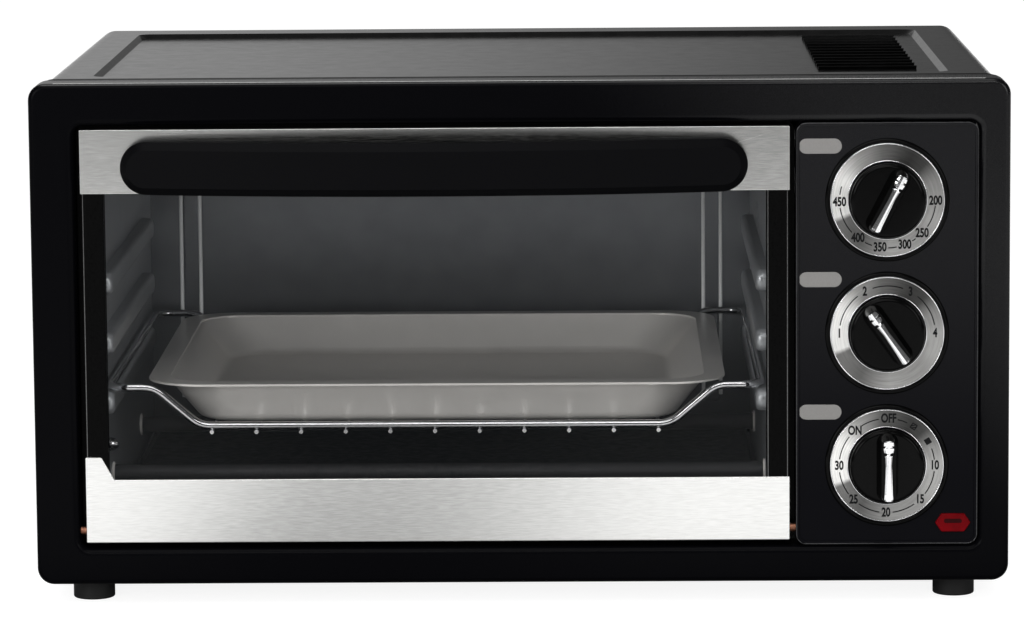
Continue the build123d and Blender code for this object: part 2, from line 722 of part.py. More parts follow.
# Base plate under the oven, with a turned-up lug that anchors the door's closing spring
LEVER_X1 = OPEN_X0 - FASCIA_WALL - LEVER_GAP
LEVER_X0 = LEVER_X1 - LEVER_THICK
ANCHOR_D = FASCIA_DEPTH + ANCHOR_RUN
ANCHOR_Z = BASE_Z + ANCHOR_RISE
FOOT_X = HALF_W - FOOT_INSET
FOOT_D0 = FASCIA_DEPTH + FOOT_R + FOOT_FRONT_GAP
FOOT_D1 = BODY_DEPTH - FOOT_INSET - FOOT_R
FOOT_SPOTS = [(x, d) for x in (-FOOT_X, FOOT_X) for d in (FOOT_D0, FOOT_D1)]
with BuildPart() as base_plate:
    block(-WRAP_X + SHEET, WRAP_X - SHEET, FASCIA_DEPTH, BODY_DEPTH - SHEET, BASE_Z, BASE_Z + SHEET)
    for foot_x, foot_d in FOOT_SPOTS:
        rod_z(foot_x, foot_d, BASE_Z - CUT_PAST, BASE_Z + 2 * SHEET, SCREW_HOLE_R, mode=Mode.SUBTRACT)
    with BuildSketch(level(BASE_Z)):
        with Locations((DIAL_X, FRONT_Y + BODY_DEPTH / 2)):
            with GridLocations(1, BASE_VENT_SPACING, 1, 12):
                SlotOverall(BASE_VENT_LENGTH, VENT_SLOT)
    extrude(amount=SHEET, mode=Mode.SUBTRACT)
    lug_d = ANCHOR_D + SLIDE_GAP
    block(LEVER_X0 - LUG_SIDE, LEVER_X1 + LUG_SIDE, lug_d, lug_d + LUG_THICK, BASE_Z, ANCHOR_Z + LUG_TOP)
save(base_plate, "base_plate")

# Rear panel with vents, the crumb tray slot and the gland hole
GLAND_X = DIAL_X
GLAND_Z = BASE_Z + GLAND_RISE
TRAY_X0 = CAVITY_X0 + TRAY_SIDE_GAP
TRAY_X1 = CAVITY_X1 - TRAY_SIDE_GAP
REAR_SCREW_SPOTS = [
    (x, z)
    for x in (-WRAP_X + REAR_SCREW_INSET, WRAP_X - REAR_SCREW_INSET)
    for z in (BASE_Z + REAR_SCREW_RISE, BASE_Z + FASCIA_HEIGHT / 2, WRAP_TOP - REAR_SCREW_DROP)
]
with BuildPart() as rear_panel:
    with BuildSketch(front_plane(BODY_DEPTH)):
        outline(
            -WRAP_X + SHEET,
            WRAP_X - SHEET,
            BASE_Z - 2 * WRAP_CORNER,
            WRAP_TOP - SHEET,
            WRAP_CORNER - SHEET,
        )
        outline(-HALF_W, HALF_W, BASE_Z - 4 * WRAP_CORNER, BASE_Z, mode=Mode.SUBTRACT)
        outline(
            TRAY_X0 - TRAY_SLOT_SIDE,
            TRAY_X1 + TRAY_SLOT_SIDE,
            CAVITY_Z0 - TRAY_SLOT_BELOW,
            TRAY_SLOT_TOP,
            mode=Mode.SUBTRACT,
        )
        with Locations((GLAND_X, GLAND_Z)):
            Circle(GLAND_R, mode=Mode.SUBTRACT)
        with Locations(*REAR_SCREW_SPOTS):
            Circle(SCREW_HOLE_R, mode=Mode.SUBTRACT)
        with Locations((DIAL_X, DIAL_Z + CONTROL_VENT_RISE)):
            with GridLocations(1, REAR_VENT_SPACING, 1, 10):
                SlotOverall(CONTROL_VENT_LENGTH, VENT_SLOT, mode=Mode.SUBTRACT)
        with Locations((CAVITY_MID_X, DIAL_Z + REAR_VENT_RISE)):
            with GridLocations(REAR_VENT_SIDE_SPACING, REAR_VENT_SPACING, 4, 5):
                SlotOverall(REAR_VENT_LENGTH, VENT_SLOT, mode=Mode.SUBTRACT)
    extrude(amount=SHEET)
save(rear_panel, "rear_panel")

# Cord gland, a collared bush in the rear panel
with BuildPart() as cord_gland:
    gland_d0 = BODY_DEPTH - GLAND_INSIDE
    gland_d1 = BODY_DEPTH + GLAND_REACH
    lip_d = BODY_DEPTH - SHEET
    rod_y(GLAND_X, gland_d0, gland_d1, GLAND_Z, GLAND_R)
    rod_y(GLAND_X, BODY_DEPTH, BODY_DEPTH + GLAND_COLLAR_THICK, GLAND_Z, GLAND_R + GLAND_COLLAR)
    rod_y(GLAND_X, lip_d - GLAND_COLLAR_THICK, lip_d, GLAND_Z, GLAND_R + GLAND_LIP)
    bore_r = GLAND_R - GLAND_WALL
    rod_y(GLAND_X, gland_d0 - CUT_PAST, gland_d1 + CUT_PAST, GLAND_Z, bore_r, mode=Mode.SUBTRACT)
save(cord_gland, "cord_gland")


def make_screw(x, d, z, shank, towards):
    """Pan-head screw along Y with its head face at d. towards is +1 when the shank runs backwards."""
    head_end = d - towards * SCREW_HEAD_T
    shank_end = d + towards * shank
    rod_y(x, min(d, head_end), max(d, head_end), z, SCREW_HEAD_R)
    rod_y(x, min(d, shank_end), max(d, shank_end), z, SCREW_R)


with BuildPart() as rear_panel_screws:
    for screw_x, screw_z in REAR_SCREW_SPOTS:
        make_screw(screw_x, BODY_DEPTH, screw_z, REAR_SCREW_SHANK, -1)
save(rear_panel_screws, "rear_panel_screws")

# Feet with a sunken screw in each
with BuildPart() as feet:
    for foot_x, foot_d in FOOT_SPOTS:
        rod_z(foot_x, foot_d, 0, BASE_Z, FOOT_R)
        rod_z(foot_x, foot_d, -CUT_PAST, FOOT_BORE, SCREW_HEAD_R + FOOT_BORE_CLEAR, mode=Mode.SUBTRACT)
        rod_z(foot_x, foot_d, -CUT_PAST, BASE_Z + CUT_PAST, SCREW_HOLE_R, mode=Mode.SUBTRACT)
    circles = feet.edges().filter_by(GeomType.CIRCLE)
    fillet(circles.filter_by(lambda edge: abs(edge.radius - FOOT_R) < 0.01), FOOT_EDGE)
save(feet, "feet")

with BuildPart() as foot_screws:
    for foot_x, foot_d in FOOT_SPOTS:
        rod_z(foot_x, foot_d, FOOT_BORE - SCREW_HEAD_T, FOOT_BORE, SCREW_HEAD_R)
        rod_z(foot_x, foot_d, FOOT_BORE, BASE_Z + FOOT_SCREW_GRIP, SCREW_R)
save(foot_screws, "foot_screws")


def trim_shell(z0, z1, open_z, back_z0, back_z1):
    """Folded steel cap over one edge of the glass, closed at its ends and open towards the glass."""
    block(DOOR_X0, DOOR_X1, DOOR_SETBACK, DOOR_BACK, z0, z1)
    inner_z0 = z0 + SHEET if open_z > z0 else z0 - CUT_PAST
    inner_z1 = z1 - SHEET if open_z < z1 else z1 + CUT_PAST
    block(DOOR_X0 + SHEET, DOOR_X1 - SHEET, CHANNEL_D0, CHANNEL_D1, inner_z0, inner_z1, mode=Mode.SUBTRACT)
    side_x0 = DOOR_X0 - CUT_PAST
    side_x1 = DOOR_X1 + CUT_PAST
    block(side_x0, side_x1, CHANNEL_D0, DOOR_BACK + CUT_PAST, back_z0, back_z1, mode=Mode.SUBTRACT)


# Door trims in folded steel
handle_screw_reach = HANDLE_LENGTH / 2 - HANDLE_FOOT / 2 - HANDLE_SCREW_INSET
HANDLE_SCREW_X = [HANDLE_X - handle_screw_reach, HANDLE_X + handle_screw_reach]
HANDLE_SCREW_Z = GLASS_TOP + SCREW_HEAD_R + HANDLE_SCREW_RISE
TRIM_LAP_Z = GLASS_TOP - TRIM_BACK_LAP
with BuildPart() as door_top_trim:
    trim_bottom = DOOR_Z1 - TRIM_HEIGHT
    trim_shell(trim_bottom, DOOR_Z1, trim_bottom, trim_bottom - CUT_PAST, TRIM_LAP_Z)
    for screw_x in HANDLE_SCREW_X:
        rod_y(screw_x, 0, CHANNEL_D0 + SLIDE_GAP, HANDLE_SCREW_Z, SCREW_HOLE_R, mode=Mode.SUBTRACT)
save(door_top_trim, "door_top_trim")

with BuildPart() as door_bottom_trim:
    trim_top = DOOR_Z0 + TRIM_HEIGHT
    trim_shell(DOOR_Z0, trim_top, trim_top, DOOR_Z0 + TRIM_BACK_HEIGHT, trim_top + CUT_PAST)
    with BuildSketch(front_plane(CHANNEL_D0)):
        with BuildLine():
            Polyline(
                (DOOR_X0, trim_top - SHEET),
                (DOOR_X0, trim_top + TAB_RISE),
                (DOOR_X0 + TAB_WIDTH, trim_top + TAB_RISE),
                (DOOR_X0 + TAB_WIDTH + TAB_SLOPE, trim_top),
                (DOOR_X0 + TAB_WIDTH + TAB_SLOPE, trim_top - SHEET),
                close=True,
            )
        make_face()
    extrude(amount=SHEET)
    rod_x(DOOR_X0 - CUT_PAST, DOOR_X1 + CUT_PAST, HINGE_D, HINGE_Z, PIN_R, mode=Mode.SUBTRACT)
save(door_bottom_trim, "door_bottom_trim")


def make_strip(name, outer_x, inward):
    """Channel over one upright edge of the glass."""
    inner_x = outer_x + inward * STRIP_WIDTH
    glass_x = outer_x + inward * PAD
    with BuildPart() as strip:
        block(min(outer_x, inner_x), max(outer_x, inner_x), CHANNEL_D0, CHANNEL_D1, BLOCK_TOP, GLASS_TOP)
        far_x = inner_x + inward
        block(min(glass_x, far_x), max(glass_x, far_x), GLASS_D0, GLASS_D1, 0, TOP_Z, mode=Mode.SUBTRACT)
    save(strip, name)


make_strip("door_left_strip", DOOR_X0 + SHEET, 1)
make_strip("door_right_strip", DOOR_X1 - SHEET, -1)

with BuildPart() as door_glass:
    block(DOOR_X0 + SHEET + PAD, DOOR_X1 - SHEET - PAD, GLASS_D0, GLASS_D1, BLOCK_TOP, GLASS_TOP)
save(door_glass, "door_glass")

# Soft pads between the glass and the folded trims
with BuildPart() as glass_pads:
    pad_x0 = DOOR_X0 + SHEET + STRIP_WIDTH
    pad_x1 = DOOR_X1 - SHEET - STRIP_WIDTH
    low_z0 = BLOCK_TOP + PAD_INSET
    low_z1 = DOOR_Z0 + TRIM_BACK_HEIGHT
    front_z0 = DOOR_Z1 - TRIM_HEIGHT + 2 * PAD_INSET
    for pad_d0, pad_d1, high_z0 in ((CHANNEL_D0, GLASS_D0, front_z0), (GLASS_D1, CHANNEL_D1, TRIM_LAP_Z)):
        block(pad_x0, pad_x1, pad_d0, pad_d1, low_z0, low_z1)
        block(pad_x0, pad_x1, pad_d0, pad_d1, high_z0, GLASS_TOP)
save(glass_pads, "glass_pads")

# Hinge blocks inside the ends of the bottom trim
with BuildPart() as hinge_blocks:
    for near_x, far_x in (
        (DOOR_X0 + SHEET, DOOR_X0 + SHEET + HINGE_BLOCK),
        (DOOR_X1 - SHEET - HINGE_BLOCK, DOOR_X1 - SHEET),
    ):
        block(near_x, far_x, CHANNEL_D0, CHANNEL_D1, DOOR_Z0 + SHEET, BLOCK_TOP)
        rod_x(near_x - CUT_PAST, far_x + CUT_PAST, HINGE_D, HINGE_Z, PIN_R, mode=Mode.SUBTRACT)
save(hinge_blocks, "hinge_blocks")

# Hinge pins. The left one ends in a thin spigot that carries the closing lever
with BuildPart() as left_hinge_pin:
    rod_x(LEVER_X1, DOOR_X0 + SHEET + HINGE_BLOCK, HINGE_D, HINGE_Z, PIN_R)
    rod_x(LEVER_X0 - SPIGOT_PROUD, LEVER_X1, HINGE_D, HINGE_Z, SPIGOT_R)
save(left_hinge_pin, "left_hinge_pin")

with BuildPart() as right_hinge_pin:
    rod_x(DOOR_X1 - SHEET - HINGE_BLOCK, PANEL_X0 + PANEL_WALL + PIN_GRIP, HINGE_D, HINGE_Z, PIN_R)
save(right_hinge_pin, "right_hinge_pin")

# Closing lever on the left pin, inside the front moulding, and the spring that pulls it
LEVER_HALF = HINGE_D - FASCIA_WALL - SLIDE_GAP
with BuildPart() as closing_lever:
    with BuildSketch(side_plane(LEVER_X0)):
        with Locations((FRONT_Y + HINGE_D, HINGE_Z)):
            Circle(LEVER_HALF)
        outline(
            FRONT_Y + HINGE_D,
            FRONT_Y + HINGE_D + LEVER_LENGTH,
            HINGE_Z - LEVER_HALF,
            HINGE_Z + LEVER_HALF,
        )
        with Locations((FRONT_Y + HINGE_D, HINGE_Z)):
            Circle(SPIGOT_R, mode=Mode.SUBTRACT)
    extrude(amount=LEVER_X1 - LEVER_X0)
save(closing_lever, "closing_lever")

SPRING_X = (LEVER_X0 + LEVER_X1) / 2
SPRING_D0 = HINGE_D + LEVER_LENGTH + SPRING_WIRE_R + SLIDE_GAP
SPRING_D1 = ANCHOR_D - SPRING_WIRE_R
SPRING_START = Vector(SPRING_X, FRONT_Y + SPRING_D0, HINGE_Z)
SPRING_END = Vector(SPRING_X, FRONT_Y + SPRING_D1, ANCHOR_Z)
SPRING_AXIS = (SPRING_END - SPRING_START).normalized()
SPRING_LENGTH = (SPRING_END - SPRING_START).length
with BuildPart() as closing_spring:
    with BuildLine():
        coil = Helix(
            pitch=SPRING_LEAD,
            height=SPRING_LENGTH,
            radius=SPRING_R,
            center=SPRING_START,
            direction=SPRING_AXIS,
        )
    with BuildSketch(Plane(origin=coil @ 0, z_dir=coil % 0)):
        Circle(SPRING_WIRE_R)
    sweep()
save(closing_spring, "closing_spring")

# Door handle, a bowed bar that meets the door at both ends
with BuildPart() as door_handle:
    half = HANDLE_LENGTH / 2
    near_y = FRONT_Y + DOOR_SETBACK
    far_y = FRONT_Y - HANDLE_REACH
    end_y = FRONT_Y - HANDLE_END_REACH
    with BuildSketch(level(HANDLE_Z - HANDLE_HEIGHT / 2)):
        with BuildLine():
            ThreePointArc((HANDLE_X - half, end_y), (HANDLE_X, far_y), (HANDLE_X + half, end_y))
            Line((HANDLE_X + half, end_y), (HANDLE_X + half, near_y))
            Line((HANDLE_X + half, near_y), (HANDLE_X + half - HANDLE_FOOT, near_y))
            ThreePointArc(
                (HANDLE_X + half - HANDLE_FOOT, near_y),
                (HANDLE_X, far_y + HANDLE_BAR),
                (HANDLE_X - half + HANDLE_FOOT, near_y),
            )
            Line((HANDLE_X - half + HANDLE_FOOT, near_y), (HANDLE_X - half, near_y))
            Line((HANDLE_X - half, near_y), (HANDLE_X - half, end_y))
        make_face()
    extrude(amount=HANDLE_HEIGHT)
    with BuildSketch(front_plane(DOOR_SETBACK)):
        with Locations((HANDLE_X, HANDLE_Z)):
            SlotOverall(HANDLE_LENGTH, HANDLE_HEIGHT - 0.01)
    extrude(amount=HANDLE_REACH + DOOR_SETBACK + CUT_PAST, mode=Mode.INTERSECT)
    front_face = door_handle.faces().sort_by(Axis.Y)[0]
    chamfer(front_face.edges(), HANDLE_BEVEL)
    for screw_x in HANDLE_SCREW_X:
        bore_end = DOOR_SETBACK + CUT_PAST
        rod_y(screw_x, -HANDLE_SCREW_BORE, bore_end, HANDLE_SCREW_Z, SCREW_R, mode=Mode.SUBTRACT)
save(door_handle, "door_handle")

with BuildPart() as handle_screws:
    for screw_x in HANDLE_SCREW_X:
        make_screw(screw_x, CHANNEL_D0, HANDLE_SCREW_Z, HANDLE_SCREW_SHANK, -1)
save(handle_screws, "handle_screws")

# Wire rack. The frame dips between its sides so that the shelf of rods hangs below the ledges
WIRE_Z = RACK_SEAT_Z + FRAME_WIRE_R + SLIDE_GAP
SHELF_Z = WIRE_Z - RACK_DROP
RACK_X0 = CAVITY_X0 + RACK_SIDE_GAP
RACK_X1 = CAVITY_X1 - RACK_SIDE_GAP
RACK_D0 = CAVITY_FRONT + RACK_FRONT_GAP
RACK_D1 = CAVITY_BACK - RACK_BACK_GAP
SHELF_X0 = RACK_X0 + RACK_SHOULDER + RACK_SLOPE_RUN
SHELF_X1 = RACK_X1 - RACK_SHOULDER - RACK_SLOPE_RUN


def half_frame(side_x, shelf_x):
    """Path of one half of the rack frame, from the middle of the front to the middle of the back."""
    towards = 1 if side_x > shelf_x else -1
    shoulder_x = shelf_x + towards * RACK_SLOPE_RUN
    points = []
    for d in (RACK_D0, RACK_D1):
        run = [
            (CAVITY_MID_X, FRONT_Y + d, SHELF_Z),
            (shelf_x, FRONT_Y + d, SHELF_Z),
            (shoulder_x, FRONT_Y + d, WIRE_Z),
            (side_x, FRONT_Y + d, WIRE_Z),
        ]
        points += run if d == RACK_D0 else reversed(run)
    bends = [RACK_BEND_R, RACK_BEND_R, RACK_CORNER_R]
    return FilletPolyline(*points, radius=bends + bends[::-1])


with BuildPart() as rack_frame:
    for side_x, shelf_x in ((RACK_X0, SHELF_X0), (RACK_X1, SHELF_X1)):
        with BuildLine() as frame_path:
            half_frame(side_x, shelf_x)
        with BuildSketch(Plane.YZ.offset(CAVITY_MID_X)):
            with Locations((FRONT_Y + RACK_D0, SHELF_Z)):
                Circle(FRAME_WIRE_R)
        sweep(path=frame_path.wires()[0])
save(rack_frame, "rack_frame")

ROD_Z = SHELF_Z - FRAME_WIRE_R - ROD_R + ROD_BITE
ROD_D0 = RACK_D0 - FRAME_WIRE_R - ROD_PROUD
ROD_D1 = RACK_D1 + FRAME_WIRE_R + ROD_PROUD
ROD_SPAN = SHELF_X1 - SHELF_X0 - 2 * ROD_END_GAP
with BuildPart() as rack_rods:
    for number in range(ROD_COUNT):
        rod_x_place = CAVITY_MID_X - ROD_SPAN / 2 + number * ROD_SPAN / (ROD_COUNT - 1)
        rod_y(rod_x_place, ROD_D0, ROD_D1, ROD_Z, ROD_R)
save(rack_rods, "rack_rods")

# Bake pan with flared walls and a flat rim, standing on the rods
PAN_BASE_Z = ROD_Z + ROD_R + SLIDE_GAP
PAN_RIM_Z = WIRE_Z - PAN_RIM_DROP
PAN_D0 = RACK_D0 + FRAME_WIRE_R + PAN_WIRE_GAP
PAN_D1 = RACK_D1 - FRAME_WIRE_R - PAN_WIRE_GAP
PAN_MID_D = (PAN_D0 + PAN_D1) / 2
PAN_RIM_WIDTH = RACK_X1 - RACK_X0 - 2 * PAN_RIM_SIDE_GAP
PAN_BASE_WIDTH = SHELF_X1 - SHELF_X0 + 2 * PAN_BASE_OVERHANG
PAN_RIM_DEPTH = PAN_D1 - PAN_D0
PAN_BASE_DEPTH = PAN_RIM_DEPTH - 2 * PAN_FLANGE - PAN_FLARE


def pan_section(width, depth, corner):
    """Rounded rectangle centred on the pan."""
    with Locations((CAVITY_MID_X, FRONT_Y + PAN_MID_D)):
        RectangleRounded(width, depth, corner)


def pan_bowl(wall):
    """Solid inside of the pan's flared walls, moved in by the given wall, with a rounded foot."""
    with BuildPart() as bowl:
        with BuildSketch(level(PAN_BASE_Z + wall)):
            pan_section(PAN_BASE_WIDTH - 2 * wall, PAN_BASE_DEPTH - 2 * wall, PAN_CORNER - wall)
        with BuildSketch(level(PAN_RIM_Z)):
            pan_section(
                PAN_RIM_WIDTH - 2 * PAN_FLANGE - 2 * wall,
                PAN_RIM_DEPTH - 2 * PAN_FLANGE - 2 * wall,
                PAN_CORNER - wall,
            )
        loft()
        fillet(bowl.edges().group_by(Axis.Z)[0], PAN_FOOT_R - wall)
    return bowl.part


with BuildPart() as bake_pan:
    add(pan_bowl(0.0))
    add(pan_bowl(PAN_SHEET), mode=Mode.SUBTRACT)
    with BuildSketch(level(PAN_RIM_Z)):
        pan_section(PAN_RIM_WIDTH, PAN_RIM_DEPTH, PAN_CORNER + PAN_FLANGE / 2)
        with Locations((CAVITY_MID_X, FRONT_Y + PAN_MID_D)):
            RectangleRounded(
                PAN_RIM_WIDTH - 2 * PAN_FLANGE - 2 * PAN_SHEET,
                PAN_RIM_DEPTH - 2 * PAN_FLANGE - 2 * PAN_SHEET,
                PAN_CORNER - PAN_SHEET,
                mode=Mode.SUBTRACT,
            )
    extrude(amount=PAN_SHEET)
save(bake_pan, "bake_pan")

# Crumb tray, drawn out through the rear panel
TRAY_Z0 = CAVITY_Z0 + SLIDE_GAP
TRAY_D0 = CAVITY_FRONT + TRAY_FRONT_GAP
TRAY_LIP_D = BODY_DEPTH + SLIDE_GAP
with BuildPart() as crumb_tray:
    block(TRAY_X0, TRAY_X1, TRAY_D0, TRAY_LIP_D, TRAY_Z0, TRAY_Z0 + TRAY_WALL_HEIGHT)
    block(
        TRAY_X0 + SHEET,
        TRAY_X1 - SHEET,
        TRAY_D0 + SHEET,
        TRAY_LIP_D - SHEET,
        TRAY_Z0 + SHEET,
        TRAY_Z0 + TRAY_WALL_HEIGHT + CUT_PAST,
        mode=Mode.SUBTRACT,
    )
    lip_z = TRAY_Z0 - TRAY_LIP_DROP
    pull_z = TRAY_Z0 + TRAY_PULL_RISE
    pull_half = TRAY_PULL_WIDTH / 2
    block(TRAY_X0, TRAY_X1, TRAY_LIP_D, TRAY_LIP_D + TRAY_LIP_THICK, lip_z, lip_z + TRAY_LIP_HEIGHT)
    block(
        CAVITY_MID_X - pull_half,
        CAVITY_MID_X + pull_half,
        TRAY_LIP_D,
        TRAY_LIP_D + TRAY_PULL_REACH,
        pull_z,
        pull_z + TRAY_LIP_THICK,
    )
save(crumb_tray, "crumb_tray")


# Bevelled metal rings round the knobs
with BuildPart() as dial_rings:
    with BuildSketch(front_plane(PANEL_SETBACK)):
        with Locations((DIAL_X, DIAL_Z)):
            with GridLocations(1, DIAL_SPACING, 1, 3):
                Circle(RING_OUTER_R - RING_FIT)
                Circle(RING_INNER_R, mode=Mode.SUBTRACT)
    extrude(amount=RING_PROUD)
    chamfer(edges_at_depth(dial_rings, PANEL_SETBACK - RING_PROUD), RING_BEVEL)
save(dial_rings, "dial_rings")


def pointer_outline():
    """Pointer seen from the front, pointing up: a tail that narrows to a waist below a wide head."""
    half = KNOB_R - POINTER_INSET
    right_side = [
        (POINTER_TAIL / 2, -half),
        (POINTER_WAIST / 2, half * 0.35),
        (POINTER_HEAD / 2, half * 0.6),
        (POINTER_HEAD / 2, half),
    ]
    left_side = [(-x, y) for x, y in reversed(right_side)]
    Polygon(*right_side, *left_side, align=None)


def make_control(name, z, turn):
    """Knob, chrome pointer and shaft of one control, with the pointer turned clockwise by turn degrees."""
    knob_back = PANEL_SETBACK - KNOB_GAP
    knob_front = knob_back - KNOB_FACE
    crest = knob_front - GRIP_REACH
    grip_place = Location((DIAL_X, z, 0), (0, 0, -turn))
    with BuildPart() as knob:
        with BuildSketch(front_plane(knob_back)):
            with Locations((DIAL_X, z)):
                Circle(KNOB_R)
        extrude(amount=KNOB_FACE)
        fillet(edges_at_depth(knob, knob_front), KNOB_EDGE)
        with BuildSketch(front_plane(knob_front + GRIP_ROOT)):
            with Locations(grip_place):
                RectangleRounded(GRIP_WIDTH, 2 * (KNOB_R - GRIP_END_GAP), GRIP_WIDTH * 0.48)
        extrude(amount=GRIP_REACH + GRIP_ROOT, taper=GRIP_TAPER)
        with BuildSketch(front_plane(crest)):
            with Locations(grip_place):
                pointer_outline()
        extrude(amount=-POINTER_SUNK, mode=Mode.SUBTRACT)
        rod_y(DIAL_X, knob_front - SHAFT_GRIP, knob_back + CUT_PAST, z, SHAFT_R, mode=Mode.SUBTRACT)
    save(knob, f"{name}_knob")
    with BuildPart() as pointer:
        with BuildSketch(front_plane(crest + POINTER_SUNK)):
            with Locations(grip_place):
                pointer_outline()
        extrude(amount=POINTER_SUNK + POINTER_PROUD)
    save(pointer, f"{name}_pointer")
    with BuildPart() as shaft:
        rod_y(DIAL_X, knob_front - SHAFT_GRIP, BRACKET_D1 + SHAFT_TAIL, z, SHAFT_R)
    save(shaft, f"{name}_shaft")


CONTROL_LEVELS = {
    "temperature": (DIAL_Z + DIAL_SPACING, TEMPERATURE_REST),
    "function": (DIAL_Z, FUNCTION_REST),
    "timer": (DIAL_Z - DIAL_SPACING, TIMER_REST),
}
for control_name, (control_z, rest_turn) in CONTROL_LEVELS.items():
    make_control(control_name, control_z, rest_turn)

# Works behind the three knobs
SHAFT_SOCKET = 14.0
THERMOSTAT_SIZE = (34.0, 24.0, 26.0)
THERMOSTAT_EAR = 7.0
THERMOSTAT_EAR_HALF = 6.0
THERMOSTAT_EAR_THICK = 1.5
THERMOSTAT_TAG_X = 10.2
SWITCH_SIDE = 42.0
SWITCH_DEPTH = 30.0
SWITCH_CORNER = 4.0
TAG_WIDTH = 6.0
TAG_LENGTH = 9.0
TAG_THICK = 1.0
TIMER_R = 24.0
TIMER_DEPTH = 32.0
BELL_R = 21.0
BELL_DEPTH = 8.0
BELL_WALL = 1.2
BELL_EDGE = 1.8
BELL_STEM_R = 2.0
BELL_STEM = 3.0


def shaft_socket(z):
    """Running hole for a control shaft in the housing behind the bracket."""
    far_d = BRACKET_D1 + SHAFT_SOCKET
    rod_y(DIAL_X, BRACKET_D1 - CUT_PAST, far_d, z, SHAFT_R + RUNNING_FIT, mode=Mode.SUBTRACT)


def tag(x, d, z):
    """Flat push-on terminal standing out of the back of a housing."""
    block(x - TAG_WIDTH / 2, x + TAG_WIDTH / 2, d, d + TAG_LENGTH, z - TAG_THICK / 2, z + TAG_THICK / 2)


with BuildPart() as thermostat:
    thermostat_z = DIAL_Z + DIAL_SPACING
    body_width, body_depth, body_height = THERMOSTAT_SIZE
    thermostat_back = BRACKET_D1 + body_depth
    block(
        DIAL_X - body_width / 2,
        DIAL_X + body_width / 2,
        BRACKET_D1,
        thermostat_back,
        thermostat_z - body_height / 2,
        thermostat_z + body_height / 2,
    )
    ear_reach = body_width / 2 + THERMOSTAT_EAR
    block(
        DIAL_X - ear_reach,
        DIAL_X + ear_reach,
        BRACKET_D1,
        BRACKET_D1 + THERMOSTAT_EAR_THICK,
        thermostat_z - THERMOSTAT_EAR_HALF,
        thermostat_z + THERMOSTAT_EAR_HALF,
    )
    for side in (-1, 1):
        tag(DIAL_X + side * THERMOSTAT_TAG_X, thermostat_back, thermostat_z)
    shaft_socket(thermostat_z)
save(thermostat, "thermostat")

SWITCH_TAG_SPACING = 12.0
SWITCH_TAG_RISE = 10.0
switch_back = BRACKET_D1 + SWITCH_DEPTH
with BuildPart() as selector_switch:
    half_side = SWITCH_SIDE / 2
    block(
        DIAL_X - half_side,
        DIAL_X + half_side,
        BRACKET_D1,
        switch_back,
        DIAL_Z - half_side,
        DIAL_Z + half_side,
    )
    fillet(selector_switch.edges().filter_by(Axis.Y), SWITCH_CORNER)
    for column in (-1, 0, 1):
        for row in (-1, 1):
            tag(DIAL_X + column * SWITCH_TAG_SPACING, switch_back, DIAL_Z + row * SWITCH_TAG_RISE)
    shaft_socket(DIAL_Z)
save(selector_switch, "selector_switch")

timer_z = DIAL_Z - DIAL_SPACING
timer_back = BRACKET_D1 + TIMER_DEPTH
bell_back = timer_back + BELL_STEM + BELL_DEPTH
with BuildPart() as timer_movement:
    rod_y(DIAL_X, BRACKET_D1, timer_back, timer_z, TIMER_R)
    rod_y(DIAL_X, timer_back, bell_back - BELL_WALL, timer_z, BELL_STEM_R)
    shaft_socket(timer_z)
save(timer_movement, "timer_movement")

with BuildPart() as timer_bell:
    rod_y(DIAL_X, timer_back + BELL_STEM, bell_back, timer_z, BELL_R)
    fillet(edges_at_depth(timer_bell, bell_back), BELL_EDGE)
    rod_y(DIAL_X, timer_back, bell_back - BELL_WALL, timer_z, BELL_R - BELL_WALL, mode=Mode.SUBTRACT)
save(timer_bell, "timer_bell")

# Power lamp, a lens in the panel with a neon bulb behind it
with BuildPart() as lamp_lens:
    with BuildSketch(front_plane(PANEL_SETBACK + PANEL_WALL)):
        lamp_outline(0.0)
    extrude(amount=PANEL_WALL + LENS_PROUD)
    with BuildSketch(front_plane(PANEL_SETBACK + PANEL_WALL)):
        lamp_outline(LENS_LIP)
    extrude(amount=-LENS_FLANGE)
    fillet(edges_at_depth(lamp_lens, PANEL_SETBACK - LENS_PROUD), LENS_EDGE)
save(lamp_lens, "lamp_lens")

with BuildPart() as neon_lamp:
    lens_back = PANEL_SETBACK + PANEL_WALL + LENS_FLANGE
    rod_y(LAMP_X, lens_back + SLIDE_GAP, BRACKET_D1 + NEON_TAIL, LAMP_Z, NEON_R)
    rod_y(LAMP_X, BRACKET_D1, BRACKET_D1 + NEON_TAIL, LAMP_Z, LAMP_HEIGHT / 2 + NEON_COLLAR)
save(neon_lamp, "neon_lamp")

# Air circulation fan on the right side of the cavity
HOUSING_X0 = CAVITY_X1 + SHEET
HOUSING_X1 = HOUSING_X0 + FAN_HOUSING_DEPTH
with BuildPart() as fan_housing:
    rod_x(HOUSING_X0, HOUSING_X1, FAN_D, FAN_Z, FAN_HOUSING_R)
    inside_r = FAN_HOUSING_R - SHEET
    rod_x(HOUSING_X0 - CUT_PAST, HOUSING_X1 - SHEET, FAN_D, FAN_Z, inside_r, mode=Mode.SUBTRACT)
    hole_r = FAN_SHAFT_R + FAN_SHAFT_CLEAR
    rod_x(HOUSING_X0, HOUSING_X1 + CUT_PAST, FAN_D, FAN_Z, hole_r, mode=Mode.SUBTRACT)
save(fan_housing, "fan_housing")

